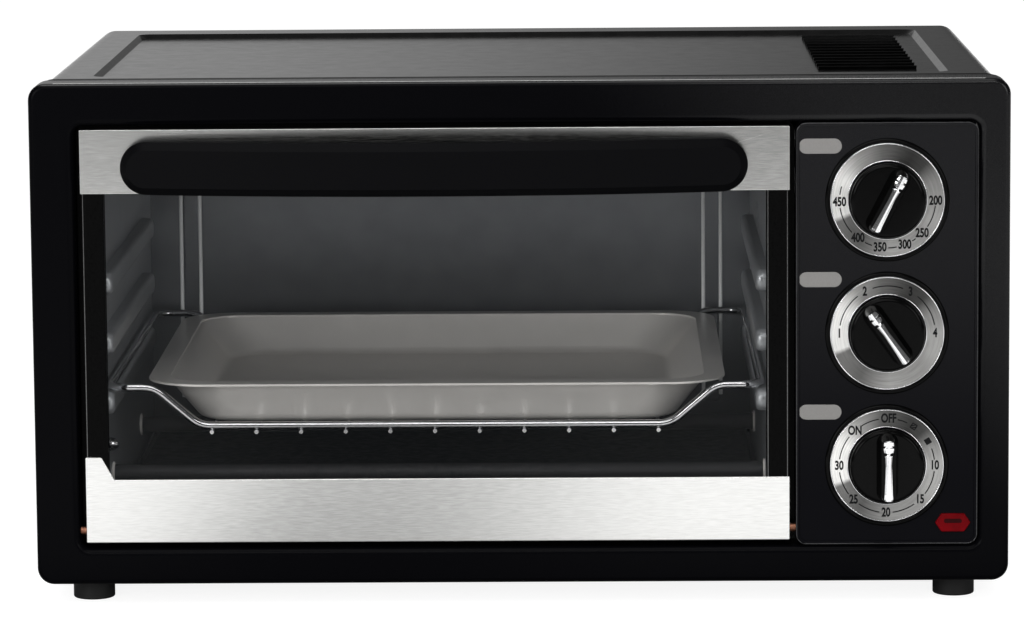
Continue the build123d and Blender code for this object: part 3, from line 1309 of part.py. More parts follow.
MOTOR_X1 = HOUSING_X1 + MOTOR_LENGTH
with BuildPart() as fan_motor:
    motor_z = FAN_Z + MOTOR_RISE
    block(
        HOUSING_X1,
        MOTOR_X1,
        FAN_D - MOTOR_HALF,
        FAN_D + MOTOR_HALF,
        motor_z - MOTOR_HALF,
        motor_z + MOTOR_HALF,
    )
    fillet(fan_motor.edges().filter_by(Axis.X), MOTOR_CORNER)
    bore_r = FAN_SHAFT_R + RUNNING_FIT
    rod_x(HOUSING_X1 - CUT_PAST, MOTOR_X1 - MOTOR_BORE_END, FAN_D, FAN_Z, bore_r, mode=Mode.SUBTRACT)
save(fan_motor, "fan_motor")

with BuildPart() as fan_shaft:
    rod_x(HOUSING_X0 + FAN_SHAFT_START, MOTOR_X1 - MOTOR_SHAFT_END, FAN_D, FAN_Z, FAN_SHAFT_R)
save(fan_shaft, "fan_shaft")

with BuildPart() as fan_impeller:
    impeller_x0 = HOUSING_X0 + IMPELLER_GAP
    impeller_x1 = impeller_x0 + IMPELLER_DEPTH
    rod_x(impeller_x1 - IMPELLER_DISC, impeller_x1, FAN_D, FAN_Z, IMPELLER_R)
    rod_x(impeller_x0, impeller_x1, FAN_D, FAN_Z, HUB_R)
    with BuildSketch(side_plane(impeller_x0)):
        with Locations((FRONT_Y + FAN_D, FAN_Z)):
            with PolarLocations(IMPELLER_R - BLADE_TIP_GAP - BLADE_LENGTH / 2, BLADE_COUNT):
                Rectangle(BLADE_LENGTH, BLADE_THICK)
    extrude(amount=BLADE_WIDTH)
    rod_x(HOUSING_X0, HOUSING_X1, FAN_D, FAN_Z, FAN_SHAFT_R, mode=Mode.SUBTRACT)
save(fan_impeller, "fan_impeller")

# Terminal block on the base plate near the gland
WIRE_R = 1.3
TERMINAL_SPACING = 15.0
TERMINAL_BLOCK_WIDTH = 48.0
TERMINAL_BLOCK_DEPTH = 18.0
TERMINAL_BLOCK_HEIGHT = 17.0
TERMINAL_REAR_GAP = 53.0
TERMINAL_RISE = 10.0
TERMINAL_D = BODY_DEPTH - TERMINAL_REAR_GAP
TERMINAL_Z = BASE_Z + TERMINAL_RISE
block_d0 = TERMINAL_D - TERMINAL_BLOCK_DEPTH / 2
block_d1 = TERMINAL_D + TERMINAL_BLOCK_DEPTH / 2
block_top = BASE_Z + SHEET + TERMINAL_BLOCK_HEIGHT
with BuildPart() as terminal_block:
    block(
        GLAND_X - TERMINAL_BLOCK_WIDTH / 2,
        GLAND_X + TERMINAL_BLOCK_WIDTH / 2,
        block_d0,
        block_d1,
        BASE_Z + SHEET,
        block_top,
    )
    for place in (-1, 0, 1):
        terminal_x = GLAND_X + place * TERMINAL_SPACING
        bore_r = WIRE_R + SLIDE_GAP
        rod_y(terminal_x, block_d0 - CUT_PAST, block_d1 + CUT_PAST, TERMINAL_Z, bore_r, mode=Mode.SUBTRACT)
        rod_z(terminal_x, TERMINAL_D, TERMINAL_Z, block_top + CUT_PAST, bore_r, mode=Mode.SUBTRACT)
save(terminal_block, "terminal_block")

# Wires from the terminal block to the switch and the thermostat
WIRE_BEND = 10.0
WIRE_RISER_D = 110.0
with BuildPart() as wiring:
    for terminal_x, tag_x, tag_d, tag_z, riser_d in (
        (
            GLAND_X - TERMINAL_SPACING,
            DIAL_X - SWITCH_TAG_SPACING,
            switch_back + TAG_LENGTH,
            DIAL_Z - SWITCH_TAG_RISE,
            WIRE_RISER_D,
        ),
        (
            GLAND_X + TERMINAL_SPACING,
            DIAL_X + THERMOSTAT_TAG_X,
            thermostat_back + TAG_LENGTH,
            thermostat_z,
            WIRE_RISER_D + WIRE_BEND,
        ),
    ):
        with BuildLine() as wire_path:
            FilletPolyline(
                (terminal_x, FRONT_Y + TERMINAL_D, TERMINAL_Z),
                (terminal_x, FRONT_Y + riser_d, TERMINAL_Z),
                (terminal_x, FRONT_Y + riser_d, tag_z),
                (tag_x, FRONT_Y + tag_d + WIRE_BEND, tag_z),
                (tag_x, FRONT_Y + tag_d, tag_z),
                radius=[WIRE_BEND, WIRE_BEND, WIRE_R],
            )
        with BuildSketch(front_plane(TERMINAL_D)):
            with Locations((terminal_x, TERMINAL_Z)):
                Circle(WIRE_R)
        sweep(path=wire_path.wires()[0])
save(wiring, "wiring")
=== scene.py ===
# %% [markdown]
# # A toaster oven, dressed in Blender
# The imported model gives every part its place, its body and its joints. This script keeps those
# solids where their shape is already right, gives each of them a finish, and builds the finer
# pieces that a solid model leaves plain: turned rings with their ink, chrome pointers, beads and
# hems, label plates and screws.

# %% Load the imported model
import math

import bmesh
import bpy
from mathutils import Matrix, Vector


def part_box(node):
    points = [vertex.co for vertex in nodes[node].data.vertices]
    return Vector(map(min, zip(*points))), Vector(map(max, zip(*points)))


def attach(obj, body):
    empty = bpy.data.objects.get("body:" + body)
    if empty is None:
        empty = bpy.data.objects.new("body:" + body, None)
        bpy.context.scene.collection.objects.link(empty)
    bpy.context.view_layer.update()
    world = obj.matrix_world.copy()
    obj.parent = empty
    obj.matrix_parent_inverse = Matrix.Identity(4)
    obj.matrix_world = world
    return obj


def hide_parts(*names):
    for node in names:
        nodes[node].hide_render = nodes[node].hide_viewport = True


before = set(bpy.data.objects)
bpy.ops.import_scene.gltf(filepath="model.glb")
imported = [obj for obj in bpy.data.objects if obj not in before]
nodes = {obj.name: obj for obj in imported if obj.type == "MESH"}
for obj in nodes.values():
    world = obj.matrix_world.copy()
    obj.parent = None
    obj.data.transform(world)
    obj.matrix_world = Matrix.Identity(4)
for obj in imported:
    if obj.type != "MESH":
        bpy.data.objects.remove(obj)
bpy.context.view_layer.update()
scene = bpy.context.scene
MM = 0.001

# %% [markdown]
# ## Camera
# The photo was taken from the front, a little above the top of the oven and far away, so that the
# sides hardly spread. A long lens far back gives the same flat view. The camera's axes are built
# from a turn, a tilt and a small roll, which keeps them readable.

# %% Camera
CAMERA_PLACE = Vector((0.03425, -2.45128, 0.45987))
CAMERA_TURN = -0.0166
CAMERA_TILT = 0.1379
CAMERA_ROLL = 0.0079
CAMERA_LENS = 172.22
CAMERA_SENSOR = 36.0
CAMERA_REACH = 50.0


def camera_matrix(place, turn, tilt, roll):
    """World matrix of a camera that looks along +Y when turn, tilt and roll are zero."""
    forward = Vector((math.sin(turn) * math.cos(tilt), math.cos(turn) * math.cos(tilt), -math.sin(tilt)))
    right = Vector((math.cos(turn), -math.sin(turn), 0.0))
    down = forward.cross(right)
    image_right = math.cos(roll) * right + math.sin(roll) * down
    image_down = math.cos(roll) * down - math.sin(roll) * right
    axes = Matrix((image_right, -image_down, -forward)).transposed()
    return Matrix.Translation(place) @ axes.to_4x4()


camera_data = bpy.data.cameras.new("photo_camera")
camera_data.lens = CAMERA_LENS
camera_data.sensor_width = CAMERA_SENSOR
camera_data.clip_end = CAMERA_REACH
camera = bpy.data.objects.new("photo_camera", camera_data)
camera.matrix_world = camera_matrix(CAMERA_PLACE, CAMERA_TURN, CAMERA_TILT, CAMERA_ROLL)
scene.collection.objects.link(camera)
scene.camera = camera
scene.view_settings.view_transform = "Standard"
print("camera at", [round(v, 3) for v in camera.matrix_world.translation])

# %% [markdown]
# ## Background
# The oven stands before plain white. A white world would also show in its black gloss and wash it
# out, so the world looks at the kind of ray: the camera sees white, shiny surfaces see a dark room
# with a lighter part behind and to the left, and the light that falls on the oven has half strength.

# %% Node helpers
def add_node(tree, kind, inputs=None, **settings):
    """New node in a tree, with its settings and the values of its unlinked inputs."""
    node = tree.nodes.new(kind)
    for key, value in settings.items():
        setattr(node, key, value)
    for key, value in (inputs or {}).items():
        node.inputs[key].default_value = value
    return node


def math_node(tree, operation, first, second):
    """Math node over two values, each a number or an output socket."""
    node = add_node(tree, "ShaderNodeMath", operation=operation)
    for socket, value in zip(node.inputs, (first, second)):
        if isinstance(value, (int, float)):
            socket.default_value = value
        else:
            tree.links.new(value, socket)
    return node.outputs[0]


def times(tree, first, second):
    """Product of two values."""
    return math_node(tree, "MULTIPLY", first, second)


def larger(tree, first, second):
    """Larger one of two values."""
    return math_node(tree, "MAXIMUM", first, second)


def ramp(tree, value, start, end):
    """Smooth step from 0 at start to 1 at end."""
    limits = {"From Min": start, "From Max": end}
    node = add_node(tree, "ShaderNodeMapRange", limits, interpolation_type="SMOOTHSTEP")
    tree.links.new(value, node.inputs["Value"])
    return node.outputs[0]


def axes_of(tree, kind):
    """X, Y and Z of a kind of texture coordinate."""
    split = add_node(tree, "ShaderNodeSeparateXYZ")
    tree.links.new(add_node(tree, "ShaderNodeTexCoord").outputs[kind], split.inputs[0])
    return split.outputs


def ray_kinds(tree):
    """Two values: 1 for rays from the camera or through glass, and 1 for rays from a shiny surface."""
    path = add_node(tree, "ShaderNodeLightPath")
    straight = larger(tree, path.outputs["Is Camera Ray"], path.outputs["Is Transmission Ray"])
    return straight, path.outputs["Is Glossy Ray"]


# %% World
WHITE = (1, 1, 1, 1)
AMBIENT = 0.5
ROOM_GLOSS = 0.10
BACKDROP_GLOSS = 0.36
BACKDROP_BEHIND = (0.2, 0.9)
BACKDROP_LEFT = (0.10, -0.12)

world = bpy.data.worlds.new("studio")
world.use_nodes = True
scene.world = world
sky = world.node_tree
sky.nodes.clear()
direction = axes_of(sky, "Generated")
behind = ramp(sky, direction["Y"], *BACKDROP_BEHIND)
leftwards = ramp(sky, direction["X"], *BACKDROP_LEFT)
backdrop = times(sky, times(sky, behind, leftwards), BACKDROP_GLOSS)
straight, glossy = ray_kinds(sky)
shine = larger(sky, straight, math_node(sky, "ADD", backdrop, ROOM_GLOSS))
dim = add_node(sky, "ShaderNodeBackground", {"Color": WHITE, "Strength": AMBIENT})
bright = add_node(sky, "ShaderNodeBackground", {"Color": WHITE})
choose = add_node(sky, "ShaderNodeMixShader")
sky_out = add_node(sky, "ShaderNodeOutputWorld")
sky.links.new(shine, bright.inputs["Strength"])
sky.links.new(larger(sky, straight, glossy), choose.inputs[0])
sky.links.new(dim.outputs[0], choose.inputs[1])
sky.links.new(bright.outputs[0], choose.inputs[2])
sky.links.new(choose.outputs[0], sky_out.inputs[0])
print("world nodes:", len(sky.nodes))

# %% [markdown]
# ## Floor
# A pale floor runs out of sight. Seen by the camera it glows white, like the background. Black
# gloss mirrors a floor, and in a studio the table's near edge, the shade under the oven and the
# dark room beyond it show in that mirror image. Ramps along and across the floor set how much of it
# is mirrored in each place.

# %% Floor
FLOOR_SIZE = 40.0
FLOOR_PAINT = 0.28
FLOOR_GLOW = 0.88
# Each pair is a ramp in metres: where a part of the mirror image starts, and where it is full. Single
# numbers are shares of its brightness. FLOOR_REAR and what follows lie behind and beside the oven, the
# rest in front of it, where the dip is a darker band in the middle.
FLOOR_FADE = (-1.88, -0.5)
FLOOR_SHADE = (-0.18, -0.30)
FLOOR_WINGS = (0.12, 0.55)
WING_GLOSS = 0.30
DIP_LEFT = (-0.23, -0.11)
DIP_RIGHT = (0.10, -0.08)
DIP_DEPTH = 0.8
FLOOR_REAR = (0.22, 0.55)
FLOOR_SIDE = (0.26, 0.55)
FLOOR_SIDE_START = (-0.22, -0.05)
SIDE_GLOSS = 0.4

floor_finish = bpy.data.materials.new("pale_floor")
floor_finish.use_nodes = True
paint = floor_finish.node_tree
paint.nodes.clear()
floor_place = axes_of(paint, "Object")
across = floor_place["X"]
along = floor_place["Y"]
sideways = math_node(paint, "ABSOLUTE", across, 0.0)
wings = times(paint, ramp(paint, sideways, *FLOOR_WINGS), WING_GLOSS)
near = ramp(paint, along, *FLOOR_FADE)
lit = times(paint, larger(paint, near, wings), ramp(paint, along, *FLOOR_SHADE))
dip = times(paint, ramp(paint, across, *DIP_LEFT), ramp(paint, across, *DIP_RIGHT))
in_front = times(paint, lit, math_node(paint, "SUBTRACT", 1.0, times(paint, dip, DIP_DEPTH)))
at_rear = ramp(paint, along, *FLOOR_REAR)
beside = times(paint, ramp(paint, sideways, *FLOOR_SIDE), ramp(paint, along, *FLOOR_SIDE_START))
mirrored = larger(paint, in_front, larger(paint, at_rear, times(paint, beside, SIDE_GLOSS)))
straight, glossy = ray_kinds(paint)
strength = times(paint, larger(paint, straight, times(paint, glossy, mirrored)), FLOOR_GLOW)
matt = add_node(paint, "ShaderNodeBsdfDiffuse", {"Color": (FLOOR_PAINT, FLOOR_PAINT, FLOOR_PAINT, 1)})
glow = add_node(paint, "ShaderNodeEmission", {"Color": WHITE})
both = add_node(paint, "ShaderNodeAddShader")
floor_out = add_node(paint, "ShaderNodeOutputMaterial")
paint.links.new(strength, glow.inputs["Strength"])
paint.links.new(matt.outputs[0], both.inputs[0])
paint.links.new(glow.outputs[0], both.inputs[1])
paint.links.new(both.outputs[0], floor_out.inputs[0])

bpy.ops.mesh.primitive_plane_add(size=FLOOR_SIZE, location=(0, 0, 0))
floor = bpy.context.object
floor.name = "floor"
floor.data.materials.append(floor_finish)
print("floor nodes:", len(paint.nodes))

# %% [markdown]
# ## Lamps
# One large soft lamp above the front and two at the sides give the oven its form. Two low ones in
# front fill the cavity and are kept out of reflections, so that they don't show as spots in the
# black gloss. A narrow one high up draws a bright line on each wire of the rack. All of them aim at
# the oven's middle.

# %% Lamps
LAMP_TARGET = Vector((0.0, 0.0, 0.12))
# Name, place, width and height in metres, power in watts, and whether shiny surfaces mirror it.
LAMPS = [
    ("lamp_above", (-0.3, -0.5, 1.7), 1.6, 1.2, 14.0, True),
    ("lamp_front_left", (-1.2, -1.9, 0.75), 0.9, 0.9, 14.0, True),
    ("lamp_front_right", (1.3, -1.7, 0.7), 0.7, 0.9, 8.0, True),
    ("lamp_fill", (-0.2, -1.9, 0.55), 1.3, 0.35, 12.0, False),
    ("lamp_low", (0.0, -1.9, 0.22), 1.2, 0.2, 9.0, False),
    ("lamp_wires", (0.0, -1.5, 1.15), 1.2, 0.3, 6.0, True),
]


def soft_lamp(name, place, width, height, power, shows):
    """Rectangular soft lamp that faces the target."""
    data = bpy.data.lights.new(name, "AREA")
    data.shape = "RECTANGLE"
    data.size = width
    data.size_y = height
    data.energy = power
    lamp = bpy.data.objects.new(name, data)
    aim = (LAMP_TARGET - Vector(place)).to_track_quat("-Z", "Y")
    lamp.matrix_world = Matrix.Translation(place) @ aim.to_matrix().to_4x4()
    lamp.visible_glossy = shows
    scene.collection.objects.link(lamp)


for lamp_row in LAMPS:
    soft_lamp(*lamp_row)
print("lamps:", len(LAMPS))

# %% [markdown]
# ## Finishes
# Each finish is one material built from nodes. Noise on Object coordinates, in metres, gives the
# scale: a moulded grain is a few tenths of a millimetre, a brushed line is long in one direction
# and thin in the other. The same noise feeds the colour, the roughness and, where the surface isn't
# polished flat, a bump of a few microns, so that highlights break up as on the real thing.

# %% Texture helpers
finishes = {}
NOISE_DETAIL = 3.0
NOISE_RANGE = (0.3, 0.7)
MICRON = 0.000001


def start_finish(name, color, metallic=0.0, roughness=0.5, specular=0.5):
    """New material with its shader's plain values set, kept under its name."""
    finish = bpy.data.materials.new(name)
    finish.use_nodes = True
    shader = finish.node_tree.nodes["Principled BSDF"]
    shader.inputs["Base Color"].default_value = (*color, 1.0)
    shader.inputs["Metallic"].default_value = metallic
    shader.inputs["Roughness"].default_value = roughness
    shader.inputs["Specular IOR Level"].default_value = specular
    finishes[name] = finish
    return finish.node_tree, shader


def grey(value):
    """Neutral colour."""
    return (value, value, value)


def noise(tree, waves, stretch=(1, 1, 1)):
    """Noise value on Object coordinates, in waves per metre. stretch multiplies them per axis."""
    place = add_node(tree, "ShaderNodeTexCoord")
    mapping = add_node(tree, "ShaderNodeMapping", {"Scale": stretch})
    pattern = add_node(tree, "ShaderNodeTexNoise", {"Scale": waves, "Detail": NOISE_DETAIL})
    tree.links.new(place.outputs["Object"], mapping.inputs["Vector"])
    tree.links.new(mapping.outputs[0], pattern.inputs["Vector"])
    return pattern.outputs[0]


def spread(tree, value, low, high):
    """Maps the range that noise mostly stays in to the range low to high."""
    limits = {"From Min": NOISE_RANGE[0], "From Max": NOISE_RANGE[1], "To Min": low, "To Max": high}
    node = add_node(tree, "ShaderNodeMapRange", limits)
    tree.links.new(value, node.inputs["Value"])
    return node.outputs[0]


def tint(tree, value, dark, light):
    """Colour between dark and light, chosen by a noise value."""
    node = add_node(tree, "ShaderNodeMix", data_type="RGBA")
    node.inputs["A"].default_value = (*dark, 1.0)
    node.inputs["B"].default_value = (*light, 1.0)
    tree.links.new(spread(tree, value, 0.0, 1.0), node.inputs["Factor"])
    return node.outputs["Result"]


def bump(tree, shader, value, depth):
    """Raises the surface by a noise value, to the given depth in metres."""
    node = add_node(tree, "ShaderNodeBump", {"Strength": 1.0, "Distance": depth})
    tree.links.new(value, node.inputs["Height"])
    tree.links.new(node.outputs[0], shader.inputs["Normal"])


# %% Kinds of finish
BRUSH_ROUGH = (0.15, 0.23)
BRUSH_WAVES = 170
BRUSH_STRETCH = (1, 12, 12)
BRUSH_MICRONS = 1.2
GLASS_WAVES = 30
GLASS_SPREAD = (0.7, 1.3)
MOULD_WAVES = 2600
MOULD_MICRONS = 3
MOULD_ROUGH = (0.22, 0.30)
# Heights between which the frame's rounded front ends and its top face begins.
FRAME_TOP = (0.2503, 0.2513)


def grained(name, dark, light, rough, waves, microns=0, metallic=0.0, specular=0.5, stretch=(1, 1, 1)):
    """Finish whose colour, roughness and bump come from one grain. Without microns it has no bump."""
    tree, shader = start_finish(name, light, metallic=metallic, specular=specular)
    grain = noise(tree, waves, stretch)
    tree.links.new(tint(tree, grain, dark, light), shader.inputs["Base Color"])
    tree.links.new(spread(tree, grain, *rough), shader.inputs["Roughness"])
    if microns > 0:
        bump(tree, shader, grain, microns * MICRON)


def brushed(name, dark, light):
    """Metal brushed along X: the grain is long in that direction and thin in the others."""
    grained(name, dark, light, rough=BRUSH_ROUGH, waves=BRUSH_WAVES, microns=BRUSH_MICRONS,
            metallic=1.0, stretch=BRUSH_STRETCH)


def clear_finish(name, color, alpha, rough, specular=0.5):
    """See-through finish with a faint unevenness in its polish."""
    tree, shader = start_finish(name, color, roughness=rough, specular=specular)
    shader.inputs["Alpha"].default_value = alpha
    polish = spread(tree, noise(tree, GLASS_WAVES), *[rough * share for share in GLASS_SPREAD])
    tree.links.new(polish, shader.inputs["Roughness"])


def moulded_black(name, color, gloss, slope, run, gain, top_gloss=0.0):
    """Moulded black whose gloss grows over a run of slope * X + Z, with a polished top if wanted."""
    tree, shader = start_finish(name, color)
    place = axes_of(tree, "Object")
    upwards = math_node(tree, "ADD", times(tree, place["X"], slope), place["Z"])
    grown = times(tree, ramp(tree, upwards, *run), gain)
    on_top = times(tree, ramp(tree, place["Z"], *FRAME_TOP), top_gloss)
    total = math_node(tree, "ADD", larger(tree, grown, on_top), gloss)
    grain = noise(tree, MOULD_WAVES)
    tree.links.new(total, shader.inputs["Specular IOR Level"])
    tree.links.new(spread(tree, grain, *MOULD_ROUGH), shader.inputs["Roughness"])
    bump(tree, shader, grain, MOULD_MICRONS * MICRON)


# %% Black plastics and rubber
moulded_black("frame_black", (0.001, 0.001, 0.0014),
              gloss=0.03, slope=1.0, run=(0.26, 0.42), gain=0.24, top_gloss=0.9)
moulded_black("panel_black", (0.0026, 0.0026, 0.0034),
              gloss=0.02, slope=0.0, run=(0.05, 0.24), gain=0.22)
grained("satin_black_plastic", (0.0012, 0.0012, 0.0015), (0.0024, 0.0024, 0.003),
        rough=(0.24, 0.32), waves=2600, microns=3, specular=0.1)
grained("handle_black", (0.0012, 0.0012, 0.0015), (0.0026, 0.0026, 0.003),
        rough=(0.40, 0.52), waves=3200, microns=10, specular=0.03)
grained("knob_black", grey(0.0008), grey(0.0016),
        rough=(0.09, 0.14), waves=700, microns=1, specular=0.07)
grained("strip_black", grey(0.001), grey(0.002),
        rough=(0.25, 0.35), waves=900, microns=2, specular=0.03)
grained("black_rubber", grey(0.005), grey(0.010),
        rough=(0.5, 0.7), waves=1800, microns=30)
print("finishes:", len(finishes))

# %% Bright and dark metals
brushed("brushed_trim", (0.70, 0.70, 0.685), (0.86, 0.86, 0.845))
# Darker copy of the trim steel for the door's top trim: painted shade, where the handle shades the trim.
brushed("trim_painted_shade", (0.50, 0.50, 0.488), (0.62, 0.62, 0.606))
grained("chromed_wire", (0.66, 0.66, 0.67), (0.78, 0.78, 0.79),
        rough=(0.06, 0.13), waves=700, microns=3, metallic=1.0)
grained("pointer_chrome", (0.78, 0.78, 0.79), (0.88, 0.88, 0.89),
        rough=(0.07, 0.12), waves=900, microns=1, metallic=1.0)
# Bright metal for the bar on the frame's top edge, whose moulding is black: a painted highlight.
grained("line_chrome", (0.34, 0.34, 0.335), (0.42, 0.42, 0.415),
        rough=(0.10, 0.16), waves=900, microns=1, metallic=1.0)
grained("edge_chrome", grey(0.08), grey(0.12),
        rough=(0.08, 0.14), waves=900, microns=1, metallic=1.0)
grained("bead_black", (0.035, 0.035, 0.037), (0.055, 0.055, 0.057),
        rough=(0.10, 0.16), waves=900, microns=1, metallic=1.0)
grained("gloss_black_metal", grey(0.003), grey(0.005),
        rough=(0.13, 0.17), waves=120, microns=0.6, specular=0.3)
grained("dark_tray", (0.003, 0.0032, 0.004), (0.007, 0.0073, 0.009),
        rough=(0.32, 0.45), waves=260, microns=3, metallic=0.3, specular=0.1)
grained("heater_sheath", (0.03, 0.03, 0.032), (0.06, 0.06, 0.062),
        rough=(0.45, 0.65), waves=500, microns=20, metallic=0.6)
grained("hinge_brass", (0.20, 0.085, 0.055), (0.34, 0.16, 0.10),
        rough=(0.35, 0.5), waves=900, microns=10, metallic=1.0)
grained("zinc_screw", (0.50, 0.50, 0.48), (0.68, 0.68, 0.66),
        rough=(0.28, 0.45), waves=900, microns=10, metallic=1.0)
grained("fan_aluminium", (0.60, 0.60, 0.61), (0.74, 0.74, 0.75),
        rough=(0.3, 0.5), waves=500, microns=10, metallic=1.0)
print("finishes:", len(finishes))

# %% Sheet steel of the cavity and the pan
grained("galvanised_steel", (0.26, 0.27, 0.285), (0.34, 0.35, 0.365),
        rough=(0.30, 0.42), waves=160, microns=4, metallic=0.9)
# Back wall: a darker copy of the cavity's steel, as painted shade.
grained("back_steel_painted_shade", (0.205, 0.213, 0.225), (0.235, 0.243, 0.255),
        rough=(0.30, 0.315), waves=60, metallic=0.9)
# Side walls: a lighter copy of the cavity's steel, as painted light.
grained("side_steel_painted_light", (0.43, 0.445, 0.46), (0.49, 0.505, 0.52),
        rough=(0.295, 0.31), waves=60, metallic=0.6)
# Near white for the bars on the back wall's ribs: painted highlights along their folds.
grained("rib_highlight_white", (0.86, 0.87, 0.87), (0.91, 0.92, 0.92),
        rough=(0.14, 0.2), waves=300, microns=1)
grained("grey_pan_steel", (0.69, 0.67, 0.64), (0.73, 0.71, 0.68),
        rough=(0.29, 0.305), waves=90, metallic=0.4)
print("finishes:", len(finishes))

# %% Glass, ceramic, grey plastic and the lens
clear_finish("clear_glass", (0.008, 0.009, 0.010), alpha=0.14, rough=0.04, specular=0.25)
clear_finish("bulb_glass", (0.9, 0.45, 0.2), alpha=0.5, rough=0.1)
grained("red_lens", (0.07, 0.001, 0.002), (0.12, 0.001, 0.003),
        rough=(0.13, 0.15), waves=120, specular=0.03)
grained("white_ceramic", (0.55, 0.53, 0.50), (0.66, 0.64, 0.61),
        rough=(0.4, 0.6), waves=900, microns=20)
grained("grey_plastic", (0.135, 0.131, 0.126), (0.158, 0.154, 0.149),
        rough=(0.4, 0.55), waves=2200, microns=4)
grained("soft_pad", grey(0.05), grey(0.09),
        rough=(0.7, 0.9), waves=1500, microns=40)
print("finishes:", len(finishes))

# %% [markdown]
# ## Solids that keep their shape
# Frame, casing, cavity, rack and pan already have the form of the real pieces. They keep their
# meshes and take the finish of the slot that the model's record gives them. A few look different
# from the rest of their slot, and those have a finish of their own. Some of these are painted light
# and shade: the door's top trim is a darker copy of the trim steel, and the cavity's side walls a
# lighter and its back wall a darker copy of the cavity's steel.

# %% Finish every solid
OWN_FINISH = {
    "front_fascia": "frame_black",
    "control_panel": "panel_black",
    "crumb_tray": "dark_tray",
    "cavity_floor": "dark_tray",
    # Painted light and shade: the side walls take a lighter, the back wall a darker copy of one steel.
    "cavity_left_wall": "side_steel_painted_light",
    "cavity_right_wall": "side_steel_painted_light",
    "cavity_back_wall": "back_steel_painted_shade",
    "door_handle": "handle_black",
    # The top trim's darker copy of the trim steel is painted shade.
    "door_top_trim": "trim_painted_shade",
    "door_left_strip": "strip_black",
    "door_right_strip": "strip_black",
    "mouth_frame": "strip_black",
    "temperature_knob": "knob_black",
    "function_knob": "knob_black",
    "timer_knob": "knob_black",
}
for name, part in nodes.items():
    slot_name = part.data.materials[0].name.split(".")[0]
    part.data.materials[0] = finishes[OWN_FINISH.get(name, slot_name)]
print("solids finished:", len(nodes))

# %% [markdown]
# ## Softer edges
# A moulded or plated piece has no sharp corner. The solids of the lamp lens and the door's trims
# come with sharp edges, so a weld joins their loose faces and a small bevel rounds what is left.
# The meshes themselves stay as they are, because a modifier works on a copy.

# %% Bevel the small solids
SOFT_EDGES = {"lamp_lens": 0.5 * MM, "door_bottom_trim": 0.4 * MM, "door_top_trim": 0.4 * MM}
WELD_GAP = 0.01 * MM
SHARP_ANGLE = 40


def round_edges(piece, width, segments=2):
    """Bevel modifier that rounds a piece's edges."""
    edge = piece.modifiers.new("edge", "BEVEL")
    edge.width = width
    edge.segments = segments
    return edge


def soften(part, width):
    """Weld and bevel modifiers that round a solid's sharp edges."""
    weld = part.modifiers.new("weld", "WELD")
    weld.merge_threshold = WELD_GAP
    edge = round_edges(part, width, segments=3)
    edge.limit_method = "ANGLE"
    edge.angle_limit = math.radians(SHARP_ANGLE)
    edge.harden_normals = True


for name, width in SOFT_EDGES.items():
    soften(nodes[name], width)
print("softened:", len(SOFT_EDGES))

# %% [markdown]
# ## Helpers for new pieces
# A new piece is a plain mesh with its place in its vertices, so its object can stay at the origin.
# Flat things on the control panel are drawn in the X-Y plane and then turned upright to face the
# front.

# %% Piece helpers
FRONT_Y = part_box("front_fascia")[0].y
MERGE_GAP = 0.001 * MM


def facing_front(x, depth, z):
    """Matrix that turns a flat drawing upright and puts it at a depth behind the frame's face."""
    upright = Matrix.Rotation(math.radians(90), 4, "X")
    return Matrix.Translation((x, FRONT_Y + depth, z)) @ upright


def add_piece(name, mesh, finish, body, stands_for=()):
    """Puts a mesh in the scene as a piece with a named finish that moves with a body."""
    if not mesh.materials:
        mesh.materials.append(finishes[finish])
    piece = bpy.data.objects.new(name, mesh)
    scene.collection.objects.link(piece)
    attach(piece, body)
    if stands_for:
        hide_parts(*stands_for)
    print(name, "faces:", len(mesh.polygons))
    return piece


def add_drawn(name, drawing, finish, body, stands_for=()):
    """Adds a piece drawn in a bmesh, with doubles merged and normals outward."""
    bmesh.ops.remove_doubles(drawing, verts=drawing.verts, dist=MERGE_GAP)
    bmesh.ops.recalc_face_normals(drawing, faces=drawing.faces)
    mesh = bpy.data.meshes.new(name)
    drawing.to_mesh(mesh)
    drawing.free()
    return add_piece(name, mesh, finish, body, stands_for)


# %% [markdown]
# ## Dial rings
# Each dial has a flat aluminium ring, turned on a lathe. Turning leaves fine grooves around the
# ring, which pull a lamp's reflection out into bright cones. A spun profile with its own UV map
# gives the shader the direction of the grooves, and its anisotropy stretches the highlights. Soft
# sectors of lighter and darker grey, fixed to the ring, are painted reflection: they paint into its
# colour the bright and dark cones that such grooves show in a studio.

# %% Turned metal finish
RING_COLOR = (0.72, 0.715, 0.70)
RING_WARMTH = (1.0, 0.992, 0.97)
RING_ROUGHNESS = 0.32
RING_ANISOTROPY = 0.85
RING_GRAIN_TURN = 0.25
RING_GROOVE_DARK = 0.72
GROOVE_STRETCH = (5, 60, 1)
GROOVE_SCALE = 2.0
GROOVE_DETAIL = 4.0
# Painted reflection: grey where the round starts and ends, and of the lighter and darker sectors by
# their place around the ring, which stand for the studio's bright and dark sides.
RING_SEAM_GREY = 0.45
RING_PAINTED_SECTORS = [
    (0.06, 0.32),
    (0.12, 0.07),
    (0.17, 0.06),
    (0.27, 0.18),
    (0.35, 0.45),
    (0.43, 1.0),
    (0.55, 1.0),
    (0.565, 0.20),
    (0.66, 0.16),
    (0.76, 0.46),
    (0.88, 0.40),
]


def sector_color(value):
    """Slightly warm grey of a painted reflection sector."""
    return (*[value * share for share in RING_WARMTH], 1.0)


